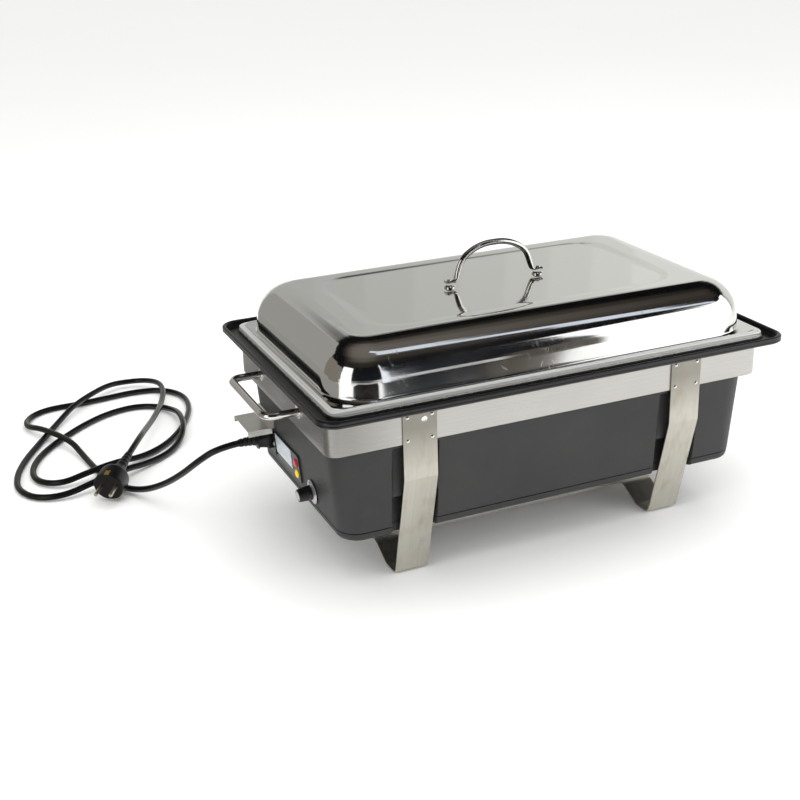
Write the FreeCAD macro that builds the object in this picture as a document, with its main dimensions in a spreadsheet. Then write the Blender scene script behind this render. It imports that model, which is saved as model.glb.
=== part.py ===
import FreeCAD, Part
import math
import os
import re

import Sketcher
from FreeCAD import Placement, Rotation, Vector

# Electric buffet server: a lidded food pan that hangs in a heated water basin, carried by a
# steel band on two bent straps. X runs along the pan, the controls and the inlet are on the
# -X end, Z is up, and the origin is on the table under the middle of the body.

SIZES = {
    # band and straps
    "bandLength": 532, "bandWidth": 298, "bandBottom": 169, "bandTop": 213,
    "bandSheet": 1.2, "bandCorner": 14,
    "strapCentre": 164.5, "strapWidth": 39, "strapSheet": 2, "strapBend": 128,
    "footReach": 117, "footFlat": 26, "floorRise": 14, "footBend": 9, "kneeBend": 22,
    "rivetRadius": 2.1, "rivetHead": 1.2, "rivetInset": 5.5, "rivetDrop": 13, "rivetPitch": 26,
    # tray that ties the straps together
    "trayWidth": 120, "traySheet": 1.2, "trayWall": 16,
    # housing and base
    "bodyBottom": 61, "bodyLength": 498, "bodyWidth": 276, "bodyDraft": 4.6, "bodyCorner": 24,
    "bodyWall": 3, "collarLap": 12, "lapGap": 0.5, "baseHeight": 10, "baseGap": 0.6,
    "baseEdge": 7, "recessSide": 10, "recessNear": 3, "recessDeep": 9.5, "recessShallow": 2.5,
    "recessStep": 46,
    "padLength": 14, "padWidth": 10, "padHeight": 4,
    # rim collar
    "rimLength": 563, "rimWidth": 358, "rimCorner": 20, "rimPlate": 2, "rimHeight": 8.5,
    "lipWall": 4, "ledgeHeight": 4.8,
    # water basin
    "basinLength": 498, "basinWidth": 284, "basinCorner": 40, "basinDepth": 88,
    "basinDraft": 6.5, "basinSheet": 0.8, "basinHeel": 8, "basinFlange": 9.5, "openingGap": 1.2,
    # food pan
    "panLength": 530, "panWidth": 325, "panCorner": 18, "panDepth": 65, "panSheet": 0.8,
    "panHeel": 12, "panGap": 1.2, "panBowlCorner": 38, "panSeat": 0.1,
    # lid
    "lidLength": 528, "lidWidth": 316, "lidCorner": 10, "lidSheet": 0.8, "lidSkirt": 4.5,
    "lidStep": 1.5, "stepInset": 5, "stepSide": 3, "domeInset": 9, "domeSide": 5,
    "domeHeight": 55.5, "domeDraft": 6,
    "domeCorner": 50, "domeEdge": 42, "lidSeat": 0.1,
    "handleSpan": 99, "handleRod": 7, "handleRise": 49, "handleBend": 27,
    "bossRadius": 6.5, "bossHeight": 3,
    # carrying handles
    "gripReach": 42, "gripWidth": 126, "gripRod": 8.6, "gripBend": 12, "gripZ": 191,
    "washerRadius": 8, "washerThick": 1.2, "nutRadius": 6.5, "nutHeight": 5,
    # end panel
    "panelFront": -16, "panelBack": 65, "panelLow": 82, "panelTall": 34, "panelThick": 2,
    "plateFront": 9, "plateBack": 64, "plateLow": 91.5, "plateTall": 23.5, "plateThick": 0.5,
    "lampRadius": 5, "lampY": -6, "lampHigh": 105, "lampLow": 91.5, "lampProud": 2.2,
    "dialY": -52, "dialZ": 88.5, "dialRadius": 14, "dialThick": 2.4, "knobRadius": 8.6,
    "knobLength": 15, "knobGap": 1.2, "shaftRadius": 3, "capRadius": 5.6, "capThick": 0.8,
    # mains inlet
    "inletY": 90, "inletZ": 99, "inletLength": 48, "inletTall": 25, "inletPlate": 3,
    "inletDeep": 20, "inletSeat": 1.2, "socketLength": 25.5, "socketTall": 17.5, "socketWall": 1.6,
    "plugBodyLength": 27, "plugBodyTall": 21, "plugBodyOut": 17, "noseLength": 22,
    "noseTall": 14.5, "noseDeep": 14, "reliefLong": 19.9, "reliefWide": 6.6,
    "hoodFront": 66, "hoodBack": 122, "hoodZ": 120, "hoodReach": 32, "hoodSheet": 1,
    "hoodDrop": 6,
    # cord
    "cordRadius": 4, "plugRadius": 19.3, "plugLength": 38, "plugRelief": 36,
    "pinRadius": 2.4, "pinLength": 19, "pinPitch": 19, "earthWidth": 6, "earthLength": 16,
    # electrical parts inside
    "elementRod": 7, "elementSpan": 300, "elementWide": 150, "elementBend": 28,
    "spreaderSheet": 2, "spreaderLength": 380, "spreaderWidth": 210,
    "bulbRadius": 3, "bulbLength": 70, "wireRadius": 1.4,
}

doc = FreeCAD.newDocument("BuffetServer")
sheet = doc.addObject("Spreadsheet::Sheet", "Sizes")
for row, (alias, value) in enumerate(SIZES.items(), start=1):
    sheet.set("A%d" % row, alias)
    sheet.set("B%d" % row, str(value))
    sheet.setAlias("B%d" % row, alias)
doc.recompute()

NODES = []


def size(alias):
    return float(sheet.get(alias))


def cells(text):
    """Each size named in an expression is read from the sheet."""
    def swap(word):
        return "Sizes." + word.group() if word.group() in SIZES else word.group()
    return re.sub(r"(?<![.\w])[A-Za-z]\w*", swap, text)


def bind(item, **expressions):
    for prop, text in expressions.items():
        item.setExpression(prop, cells(text))
    return item


def place(item, x="0", y="0", z="0", turn=None):
    item.Placement = Placement(Vector(), turn or Rotation())
    for axis, text in (("x", x), ("y", y), ("z", z)):
        item.setExpression(".Placement.Base." + axis, cells(text))
    return item


def node(item, label):
    item.Label = label
    NODES.append(item)
    return item


# ---- primitives -------------------------------------------------------------------------

TO_MINUS_X = Rotation(Vector(0, 1, 0), -90)
TO_PLUS_X = Rotation(Vector(0, 1, 0), 90)
TO_MINUS_Y = Rotation(Vector(1, 0, 0), 90)


def block(name, x, y, z, length, width, height):
    """A box whose lowest corner is at x, y, z."""
    item = doc.addObject("Part::Box", name)
    bind(item, Length=length, Width=width, Height=height)
    return place(item, x, y, z)


def rod(name, x, y, z, radius, length, turn=None):
    item = doc.addObject("Part::Cylinder", name)
    bind(item, Radius=radius, Height=length)
    return place(item, x, y, z, turn)


def taper(name, x, y, z, wide, narrow, length, turn=None):
    item = doc.addObject("Part::Cone", name)
    bind(item, Radius1=wide, Radius2=narrow, Height=length)
    return place(item, x, y, z, turn)


def less(name, base, tool):
    item = doc.addObject("Part::Cut", name)
    item.Base, item.Tool = base, tool
    return item


def both(name, *items):
    item = doc.addObject("Part::MultiFuse", name)
    item.Shapes = list(items)
    return item


def group(name, *items):
    item = doc.addObject("Part::Compound", name)
    item.Links = list(items)
    return item


def solid(name, shape):
    item = doc.addObject("Part::Feature", name)
    item.Shape = shape
    return item


# ---- rounded plan shells ----------------------------------------------------------------

def planSketch(body, name, length, width, corner, height):
    """A rectangle with rounded corners, centred on the axis, at one height."""
    sketch = body.newObject("Sketcher::SketchObject", name)
    plane = [f for f in body.Origin.OriginFeatures if f.Role == "XY_Plane"][0]
    sketch.AttachmentSupport = [(plane, "")]
    sketch.MapMode = "FlatFace"
    sketch.setExpression("AttachmentOffset.Base.z", cells(height))
    a, b, r = 50.0, 30.0, 5.0
    z = Vector(0, 0, 1)
    lines = [((-a + r, -b), (a - r, -b)), ((a, -b + r), (a, b - r)),
             ((a - r, b), (-a + r, b)), ((-a, b - r), (-a, -b + r))]
    for start, end in lines:
        sketch.addGeometry(Part.LineSegment(Vector(*start, 0), Vector(*end, 0)))
    centres = [(a - r, -b + r, -90), (a - r, b - r, 0), (-a + r, b - r, 90), (-a + r, -b + r, 180)]
    for cx, cy, first in centres:
        circle = Part.Circle(Vector(cx, cy, 0), z, r)
        begin = math.radians(first)
        sketch.addGeometry(Part.ArcOfCircle(circle, begin, begin + math.pi / 2))
    for side in range(4):
        arc = 4 + side
        sketch.addConstraint(Sketcher.Constraint("Tangent", side, 2, arc, 1))
        sketch.addConstraint(Sketcher.Constraint("Tangent", arc, 2, (side + 1) % 4, 1))
    for side in (0, 2):
        sketch.addConstraint(Sketcher.Constraint("Horizontal", side))
        sketch.addConstraint(Sketcher.Constraint("Vertical", side + 1))
    for arc in (5, 6, 7):
        sketch.addConstraint(Sketcher.Constraint("Equal", 4, arc))
    sketch.addConstraint(Sketcher.Constraint("Symmetric", 0, 1, 2, 1, -1, 1))
    along = sketch.addConstraint(Sketcher.Constraint("DistanceX", 3, 1, 1, 1, 2 * a))
    across = sketch.addConstraint(Sketcher.Constraint("DistanceY", 0, 1, 2, 1, 2 * b))
    radius = sketch.addConstraint(Sketcher.Constraint("Radius", 4, r))
    for index, text in ((along, length), (across, width), (radius, corner)):
        sketch.setExpression("Constraints[%d]" % index, cells(text))
    return sketch


def pad(body, name, length, width, corner, height, thick, draft=None):
    """Material up from the sketch; a draft above zero widens it upwards."""
    sketch = planSketch(body, name + "Plan", length, width, corner, height)
    item = body.newObject("PartDesign::Pad", name)
    item.Profile = sketch
    bind(item, Length=thick)
    if draft:
        bind(item, TaperAngle=draft)
    doc.recompute()
    return item


def pocket(body, name, length, width, corner, height, deep, draft=None):
    """A hollow cut up from the sketch, widening upwards with a draft above zero."""
    sketch = planSketch(body, name + "Plan", length, width, corner, height)
    item = body.newObject("PartDesign::Pocket", name)
    item.Profile = sketch
    item.Reversed = True
    bind(item, Length=deep)
    if draft:
        bind(item, TaperAngle=draft)
    before = item.BaseFeature.Shape.Volume
    doc.recompute()
    if not item.Shape.Volume < before - 1:
        raise RuntimeError(name + " cuts nothing")
    return item


def body(name):
    return doc.addObject("PartDesign::Body", name)


def roundEdges(shell, name, edges, radius):
    """A PartDesign fillet on the edges of the tip whose middle passes the test."""
    base = shell.Tip
    picked = ["Edge%d" % (i + 1) for i, e in enumerate(base.Shape.Edges) if edges(e.BoundBox)]
    item = shell.newObject("PartDesign::Fillet", name)
    item.Base = (base, picked)
    bind(item, Radius=radius)
    doc.recompute()
    return item


# ---- bent rods and strips ---------------------------------------------------------------

def bentPath(points, radii):
    """Straight runs joined by tangent arcs, one radius for each inner point."""
    edges = []
    start = points[0]
    for i in range(1, len(points) - 1):
        back = (points[i - 1] - points[i]).normalize()
        ahead = (points[i + 1] - points[i]).normalize()
        half = (math.pi - back.getAngle(ahead)) / 2
        trim = radii[i - 1] * math.tan(half)
        into, out = points[i] + back * trim, points[i] + ahead * trim
        bisector = (back + ahead).normalize()
        middle = points[i] + bisector * (radii[i - 1] / math.cos(half) - radii[i - 1])
        edges.append(Part.LineSegment(start, into).toShape())
        edges.append(Part.Arc(into, middle, out).toShape())
        start = out
    edges.append(Part.LineSegment(start, points[-1]).toShape())
    return Part.Wire(edges)


def bentRod(points, radii, radius):
    """A round rod along a bent path."""
    path = bentPath(points, radii)
    heading = path.Edges[0].tangentAt(path.Edges[0].FirstParameter)
    ring = Part.Wire([Part.makeCircle(radius, points[0], heading)])
    shape = path.makePipeShell([ring], True, False)
    expected = math.pi * radius ** 2 * path.Length
    if abs(shape.Volume - expected) > 0.02 * expected:
        raise RuntimeError("a bent rod has the wrong volume")
    return shape


def sameRadii(points, radius):
    return [radius] * (len(points) - 2)


# ---- band and straps --------------------------------------------------------------------

def makeBand():
    band = body("Band")
    pad(band, "BandOuter", "bandLength", "bandWidth", "bandCorner",
        "bandBottom", "bandTop - bandBottom")
    pocket(band, "BandInner", "bandLength - 2 * bandSheet", "bandWidth - 2 * bandSheet",
           "bandCorner - bandSheet", "bandBottom", "bandTop - bandBottom")
    holes = [rod("BandHole%d" % i, "-bandLength / 2 - 5", "%d * gripWidth / 2" % side, "gripZ",
                 "gripRod / 2 - 1", "bandLength + 10", TO_PLUS_X)
             for i, side in enumerate((-1, 1))]
    node(less("BandDrilled", band, both("BandHoles", *holes)), "frame_band")


def strapShape(centre):
    """One strip: down each side of the band, in at the knee, under the body and flat on the table."""
    half = size("strapSheet") / 2
    outer = size("bandWidth") / 2 + half
    foot, flat = size("footReach"), size("footFlat")
    rise = size("floorRise") + half
    plateau = size("trayWidth") / 2 + 4
    side = [Vector(0, -outer, size("bandTop") - 1), Vector(0, -outer, size("strapBend")),
            Vector(0, -foot, half), Vector(0, -foot + flat, half), Vector(0, -plateau, rise)]
    points = side + [Vector(0, -p.y, p.z) for p in reversed(side)]
    knee, foldAt, ease = size("kneeBend"), size("footBend"), 12.0
    path = bentPath(points, [knee, foldAt, ease, ease, ease, ease, foldAt, knee])
    lowest = path.BoundBox.ZMin - half
    edgeA = path.makeOffset2D(half, fill=False, openResult=True)
    edgeB = path.makeOffset2D(-half, fill=False, openResult=True)
    ends = [Part.LineSegment(edgeA.Wires[0].OrderedVertexes[k].Point,
                             edgeB.Wires[0].OrderedVertexes[k].Point).toShape() for k in (0, -1)]
    outline = Part.Wire(Part.__sortEdges__(edgeA.Edges + edgeB.Edges + ends))
    strip = Part.Face(outline).extrude(Vector(size("strapWidth"), 0, 0))
    strip.translate(Vector(centre - size("strapWidth") / 2, 0, -lowest))
    return strip


def makeStraps():
    node(solid("StrapLeft", strapShape(-size("strapCentre"))), "leg_strap_left")
    node(solid("StrapRight", strapShape(size("strapCentre"))), "leg_strap_right")
    rivets = []
    for sideX in (-1, 1):
        for edge in (-1, 1):
            for side in (-1, 1):
                for level in (0, 1):
                    x = "%d * strapCentre + %d * (strapWidth / 2 - rivetInset)" % (sideX, edge)
                    z = "bandTop - 1 - rivetDrop - %d * rivetPitch" % level
                    face = "bandWidth / 2 + strapSheet"
                    y = "-(%s)" % face if side < 0 else face
                    turn = TO_MINUS_Y if side < 0 else TO_MINUS_Y.inverted()
                    rivets.append(taper("Rivet%d" % len(rivets), x, y, z, "rivetRadius",
                                        "rivetRadius * 0.55", "rivetHead", turn))
    node(group("Rivets", *rivets), "leg_rivets")


def makeTray():
    """Shallow tray that ties the two straps together and catches drips."""
    reach = "(strapCentre + strapWidth / 2)"
    low = "floorRise + strapSheet"
    outer = block("TrayOuter", "-" + reach, "-trayWidth / 2", low, "2 * " + reach,
                  "trayWidth", "trayWall")
    inner = block("TrayInner", "-%s - 1" % reach, "-trayWidth / 2 + traySheet",
                  low + " + traySheet", "2 * %s + 2" % reach, "trayWidth - 2 * traySheet",
                  "trayWall")
    node(less("Tray", outer, inner), "tie_tray")
    screws = []
    for sideX in (-1, 1):
        for side in (-1, 1):
            screws.append(rod("TrayScrew%d" % len(screws), "%d * strapCentre" % sideX,
                              "%d * (trayWidth / 2 - 18)" % side, low + " + traySheet",
                              "3.5", "2.2"))
    node(group("TrayScrews", *screws), "tray_screws")


# ---- housing and base -------------------------------------------------------------------

def strapRecesses(name, inward, low, high):
    """Boxes that stand where the four strap legs pass, reaching inward by one wall more or less."""
    boxes = []
    for sideX in (-1, 1):
        for side in (-1, 1):
            for part in (0, 1):
                wide = "(strapWidth + recessSide + recessNear + 2 * %s)" % inward
                deep = "recessShallow" if part else "(-recessDeep)"
                floor = "(bodyWidth / 2 + %s - %s)" % (deep, inward)
                y = "-(bodyWidth / 2 + 30)" if side < 0 else floor
                start = "(bodyBottom + recessStep - 1)" if part else "(%s)" % low
                stop = "(%s)" % high if part else "(bodyBottom + recessStep + %s)" % inward
                boxes.append(block("%s%d" % (name, len(boxes)),
                                   "%d * strapCentre - strapWidth / 2 - recessSide - %s" % (sideX, inward),
                                   y, start, wide,
                                   "bodyWidth / 2 + 30 - %s" % floor,
                                   "%s - %s" % (stop, start)))
    return both(name, *boxes)


def makeHousing():
    """Moulded housing: drafted walls below the band, a straight collar up inside the band."""
    seam = "(bodyBottom + baseHeight)"
    grow = "(bandBottom - 1 - bodyBottom - baseHeight) * tan(bodyDraft * 1 deg)"
    baseGrow = "baseHeight * tan(bodyDraft * 1 deg)"
    wide = "bodyWidth + 2 * %s" % baseGrow
    long = "bodyLength + 2 * %s" % baseGrow
    outer = body("HousingOuter")
    pad(outer, "HousingWall", long, wide, "bodyCorner", seam + " + baseGap",
        "bandBottom - 1 - %s - baseGap" % seam, "bodyDraft")
    pad(outer, "HousingCollar", "bandLength - 2 * bandSheet - 2 * lapGap",
        "bandWidth - 2 * bandSheet - 2 * lapGap", "bandCorner - bandSheet", "bandBottom + 1",
        "collarLap")
    pad(outer, "HousingShelf", "bandLength - 2 * bandSheet - 2 * lapGap",
        "bandWidth - 2 * bandSheet - 2 * lapGap", "bandCorner - bandSheet", "bandBottom - 1", "2")
    inner = body("HousingInner")
    pad(inner, "HousingHollow", long + " - 2 * bodyWall", wide + " - 2 * bodyWall",
        "bodyCorner - bodyWall", seam, "bandBottom + 1 + collarLap - %s" % seam, "bodyDraft")
    recess = strapRecesses("RecessOut", "0", "bodyBottom - 5", "bandBottom - 4")
    pushed = strapRecesses("RecessIn", "bodyWall", "bodyBottom - 5", "bandBottom - 4 + bodyWall")
    shell = less("HousingRecessed", outer, recess)
    hollow = less("HousingCavity", inner, pushed)
    raw = less("HousingShell", shell, hollow)
    sockets = [rod("DialHole", "-bodyLength", "dialY", "dialZ", "shaftRadius + 1.5",
                   "bodyLength", TO_PLUS_X),
               block("InletHole", "-bodyLength", "inletY - socketLength / 2 - socketWall - 0.3",
                     "inletZ - socketTall / 2 - socketWall - 0.3", "bodyLength",
                     "socketLength + 2 * socketWall + 0.6", "socketTall + 2 * socketWall + 0.6"),
               block("InletBed", "-bodyLength", "inletY - inletLength / 2 - 0.2",
                     "inletZ - inletTall / 2 - 0.2",
                     "bodyLength + %s + inletSeat" % endFace("inletZ"), "inletLength + 0.4",
                     "inletTall + 0.4")]
    for i, z in enumerate(("lampHigh", "lampLow")):
        sockets.append(rod("LampHole%d" % i, "-bodyLength", "lampY", z, "lampRadius - 0.6",
                           "bodyLength", TO_PLUS_X))
    node(less("Housing", raw, both("HousingHoles", *sockets)), "outer_housing")


def makeBase():
    """Bottom cover, with its own raised edge and four rubber pads."""
    cover = body("BaseCover")
    pad(cover, "BaseWall", "bodyLength", "bodyWidth", "bodyCorner", "bodyBottom", "baseHeight",
        "bodyDraft")
    low = size("bodyBottom") + 0.01
    roundEdges(cover, "BaseEdge", lambda b: b.ZMax < low, "baseEdge")
    pocket(cover, "BaseHollow", "bodyLength - 2 * bodyWall", "bodyWidth - 2 * bodyWall",
           "bodyCorner - bodyWall", "bodyBottom + bodyWall", "baseHeight", "bodyDraft")
    recess = strapRecesses("BaseRecess", "0", "bodyBottom - 5", "bandBottom - 4")
    node(less("Base", cover, recess), "base_cover")
    pads, screws = [], []
    for sideX in (-1, 1):
        for side in (-1, 1):
            pads.append(block("Pad%d" % len(pads), "%d * bodyLength * 0.42 - padLength / 2" % sideX,
                              "%d * (bodyWidth / 2 - 18) - padWidth / 2" % side,
                              "bodyBottom - padHeight", "padLength", "padWidth", "padHeight"))
            screws.append(taper("BaseScrew%d" % len(screws), "%d * bodyLength * 0.34" % sideX,
                                "%d * bodyWidth * 0.3" % side, "bodyBottom - 2", "2.2", "3.6",
                                "2"))
    node(group("Pads", *pads), "base_pads")
    node(group("BaseScrews", *screws), "base_screws")


# ---- rim collar, basin, pan and lid -----------------------------------------------------

def makeRim():
    """Moulded rim: a plate over the band, a raised outer lip and a ledge for the pan."""
    opening = ("basinLength + 2 * openingGap", "basinWidth + 2 * openingGap",
               "basinCorner + openingGap")
    outer = ("rimLength", "rimWidth", "rimCorner")
    rim = body("Rim")
    pad(rim, "RimBlock", *outer, "bandTop", "rimHeight")
    edge = size("bandTop") + size("rimHeight") - 0.01
    roundEdges(rim, "LipTop", lambda b: b.ZMin > edge, "lipWall * 0.45")
    pocket(rim, "RimTrough", "rimLength - 2 * lipWall", "rimWidth - 2 * lipWall",
           "rimCorner - lipWall", "bandTop + rimPlate", "rimHeight")
    pad(rim, "RimLedge", "panLength + 2", "panWidth + 2", "panCorner", "bandTop",
        "ledgeHeight")
    pocket(rim, "LedgeInner", "basinLength + 2 * basinFlange + 2",
           "basinWidth + 2 * basinFlange + 2", "basinCorner + basinFlange",
           "bandTop + rimPlate", "ledgeHeight")
    pocket(rim, "RimOpening", *opening, "bandTop", "rimHeight")
    node(rim, "rim_collar")


def drawnBowl(name, inset, length, width, corner, top, depth, heel):
    """Drafted bowl below a rim: the outside, or the inside when it is inset by the sheet."""
    shrink = "(%s) * tan(basinDraft * 1 deg)" % depth
    bottom = "(%s - %s + %s)" % (top, depth, inset)
    bowl = body(name)
    pad(bowl, name + "Wall", "%s - 2 * %s - 2 * %s" % (length, shrink, inset),
        "%s - 2 * %s - 2 * %s" % (width, shrink, inset), "%s - %s - %s" % (corner, shrink, inset),
        bottom, depth, "basinDraft")
    low = bowl.Tip.Shape.BoundBox.ZMin + 0.01
    roundEdges(bowl, name + "Heel", lambda b: b.ZMax < low, "%s - %s" % (heel, inset))
    return bowl


def makeBasin():
    """Deep-drawn water basin that hangs by its flange in the rim."""
    plan = ("basinLength", "basinWidth", "basinCorner")
    seat = "(bandTop + rimPlate)"
    outer = drawnBowl("BasinOut", "0", *plan, seat + " + basinSheet", "basinDepth", "basinHeel")
    pad(outer, "BasinFlange", "basinLength + 2 * basinFlange", "basinWidth + 2 * basinFlange",
        "basinCorner + basinFlange - 1", seat, "basinSheet")
    inner = drawnBowl("BasinIn", "basinSheet", *plan, seat + " + basinSheet", "basinDepth",
                      "basinHeel")
    node(less("Basin", outer, inner), "water_basin")


def makePan():
    """Food pan: flat rim on the ledge and a drafted bowl inside the basin."""
    slack = "2 * (basinSheet + panGap)"
    plan = ("(basinLength - %s)" % slack, "(basinWidth - %s)" % slack, "panBowlCorner")
    seat = "(bandTop + ledgeHeight + panSeat)"
    outer = drawnBowl("PanOut", "0", *plan, seat + " + panSheet", "panDepth", "panHeel")
    pad(outer, "PanRim", "panLength", "panWidth", "panCorner", seat, "panSheet")
    inner = drawnBowl("PanIn", "panSheet", *plan, seat + " + panSheet", "panDepth", "panHeel")
    node(less("Pan", outer, inner), "food_pan")


def lidSeatZ():
    return "(bandTop + ledgeHeight + panSeat + panSheet + lidSeat)"


def lidLayer(name, inset):
    """The lid's outside, or its inside when it is inset by the sheet."""
    seat = lidSeatZ()
    top = "%s + lidSkirt + lidStep + domeHeight - %s" % (seat, inset)
    layer = body(name)
    pad(layer, name + "Skirt", "lidLength - 2 * " + inset, "lidWidth - 2 * " + inset,
        "lidCorner - " + inset, seat, "lidSkirt - " + inset)
    pad(layer, name + "Step", "lidLength - 2 * stepInset - 2 * " + inset,
        "lidWidth - 2 * stepSide - 2 * " + inset, "lidCorner + 4 - " + inset, seat,
        "lidSkirt + lidStep - " + inset)
    base = "%s + lidSkirt - %s" % (seat, inset)
    pad(layer, name + "Dome", "lidLength - 2 * domeInset - 2 * " + inset,
        "lidWidth - 2 * domeSide - 2 * " + inset, "domeCorner - " + inset, base,
        "lidStep + domeHeight", "-domeDraft")
    high = layer.Tip.Shape.BoundBox.ZMax - 0.01
    roundEdges(layer, name + "Edge", lambda b: b.ZMin > high, "domeEdge - " + inset)
    return layer


def makeLid():
    node(less("Lid", lidLayer("LidOut", "0"), lidLayer("LidIn", "lidSheet")), "lid")
    top = (size("bandTop") + size("ledgeHeight") + size("panSeat") + size("panSheet")
           + size("lidSeat") + size("lidSkirt") + size("lidStep") + size("domeHeight"))
    half, radius = size("handleSpan") / 2, size("handleRod") / 2
    boss = size("bossHeight")
    low = top + boss + radius
    high = top + size("handleRise") - radius
    arm = [Vector(half + 12, 0, low), Vector(half, 0, low), Vector(half - 8, 0, high - 15),
           Vector(half * 0.42, 0, high)]
    points = arm + [Vector(-p.x, 0, p.z) for p in reversed(arm)]
    bend = size("handleBend")
    radii = [4.5, bend, 2 * bend, 2 * bend, bend, 4.5]
    node(solid("LidHandle", bentRod(points, radii, radius)), "lid_handle")
    studs = [rod("Boss%d" % i, "%d * (handleSpan / 2 + 7)" % side, "0",
                 lidSeatZ() + " + lidSkirt + lidStep + domeHeight", "bossRadius", "bossHeight")
             for i, side in enumerate((-1, 1))]
    node(group("Bosses", *studs), "lid_handle_bosses")


# ---- carrying handles -------------------------------------------------------------------

def gripShape(side):
    """Bent bar whose ends stand on the band, with a thinner threaded stud through each hole."""
    inner = size("bandLength") / 2
    reach = inner + size("gripReach") - size("gripRod") / 2
    half, z = size("gripWidth") / 2, size("gripZ")
    points = [Vector(side * inner, -half, z), Vector(side * reach, -half, z),
              Vector(side * reach, half, z), Vector(side * inner, half, z)]
    bar = bentRod(points, sameRadii(points, size("gripBend")), size("gripRod") / 2)
    long = size("bandSheet") + size("nutHeight") + 2
    studs = [Part.makeCylinder(size("gripRod") / 2 - 1, long + 1,
                               Vector(side * (inner - long), end * half, z), Vector(side, 0, 0))
             for end in (-1, 1)]
    return bar.fuse(studs).removeSplitter()


def makeGrips():
    for side, word in ((-1, "left"), (1, "right")):
        node(solid("Grip" + word, gripShape(side)), "side_handle_" + word)
    rings, nuts = [], []
    for side in (-1, 1):
        turn = TO_MINUS_X if side < 0 else TO_PLUS_X
        for end in (-1, 1):
            y = "%d * gripWidth / 2" % end
            ring = rod("WasherBlank%d" % len(rings), "%d * bandLength / 2" % side, y, "gripZ",
                       "washerRadius", "washerThick", turn)
            hole = rod("WasherHole%d" % len(rings), "%d * bandLength / 2" % side, y, "gripZ",
                       "gripRod / 2", "washerThick", turn)
            rings.append(less("Washer%d" % len(rings), ring, hole))
            inside = "%d * (bandLength / 2 - bandSheet)" % side
            back = TO_PLUS_X if side < 0 else TO_MINUS_X
            nut = rod("NutBlank%d" % len(nuts), inside, y, "gripZ", "nutRadius", "nutHeight", back)
            bore = rod("NutBore%d" % len(nuts), inside, y, "gripZ", "gripRod / 2 - 1",
                       "nutHeight", back)
            nuts.append(less("Nut%d" % len(nuts), nut, bore))
    node(group("Washers", *rings), "side_handle_washers")
    node(group("Nuts", *nuts), "side_handle_nuts")


# ---- end panel --------------------------------------------------------------------------

def endFace(z):
    """Where the drafted end wall of the housing stands at a height."""
    return "-(bodyLength / 2 + (%s - bodyBottom) * tan(bodyDraft * 1 deg))" % z


def endFaceAt(z):
    rise = (z - size("bodyBottom")) * math.tan(math.radians(size("bodyDraft")))
    return -(size("bodyLength") / 2 + rise)


def tilt():
    """Turns +Z to the outward normal of the drafted end wall."""
    return Rotation(Vector(0, 1, 0), -(90 + size("bodyDraft")))


def onEnd(shape, y, z):
    """Moves a shape built on +Z at the origin to stand on the end wall."""
    shape.Placement = Placement(Vector(endFaceAt(z), y, z), tilt())
    return shape


def makePanel():
    """Thin dark facia for the lamps and the rating plate, then what is on it."""
    front, back = size("panelFront"), size("panelBack")
    low, tall = size("panelLow"), size("panelTall")
    thick = size("panelThick")
    middle = Vector(0, (front + back) / 2, low + tall / 2)
    facia = Part.makeBox(tall, back - front, thick, Vector(-tall / 2, (front - back) / 2, 0))
    facia = facia.makeFillet(4, [e for e in facia.Edges if e.BoundBox.ZLength > thick - 0.01])
    facia = onEnd(facia, middle.y, middle.z)
    lampPlaces = [(size("lampHigh"), "power_lamp"), (size("lampLow"), "heating_lamp")]
    for z, label in lampPlaces:
        bore = onEnd(Part.makeCylinder(size("lampRadius") - 0.6, 10, Vector(0, 0, -3)),
                     size("lampY"), z)
        facia = facia.cut(bore)
    inletHalf = size("inletLength") / 2 + 0.5
    space = Part.makeBox(40, 2 * inletHalf, size("inletTall") + 1,
                         Vector(endFaceAt(size("inletZ")) - 20, size("inletY") - inletHalf,
                                size("inletZ") - size("inletTall") / 2 - 0.5))
    node(solid("Facia", facia.cut(space)), "panel_facia")
    plateMid = (size("plateFront") + size("plateBack")) / 2
    plateLong = size("plateBack") - size("plateFront")
    plate = Part.makeBox(size("plateTall"), plateLong, size("plateThick"),
                         Vector(-size("plateTall") / 2, -plateLong / 2, thick))
    node(solid("Plate", onEnd(plate, plateMid, size("plateLow") + size("plateTall") / 2)),
         "rating_plate")
    for z, label in lampPlaces:
        lens = Part.makeCylinder(size("lampRadius"), size("lampProud"), Vector(0, 0, thick))
        lens = lens.makeFillet(1.2, [e for e in lens.Edges if e.BoundBox.ZMin > thick + 1])
        stem = Part.makeCylinder(size("lampRadius") - 0.8, 22 + thick, Vector(0, 0, -22))
        node(solid(label, onEnd(lens.fuse(stem), size("lampY"), z)), label)


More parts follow.
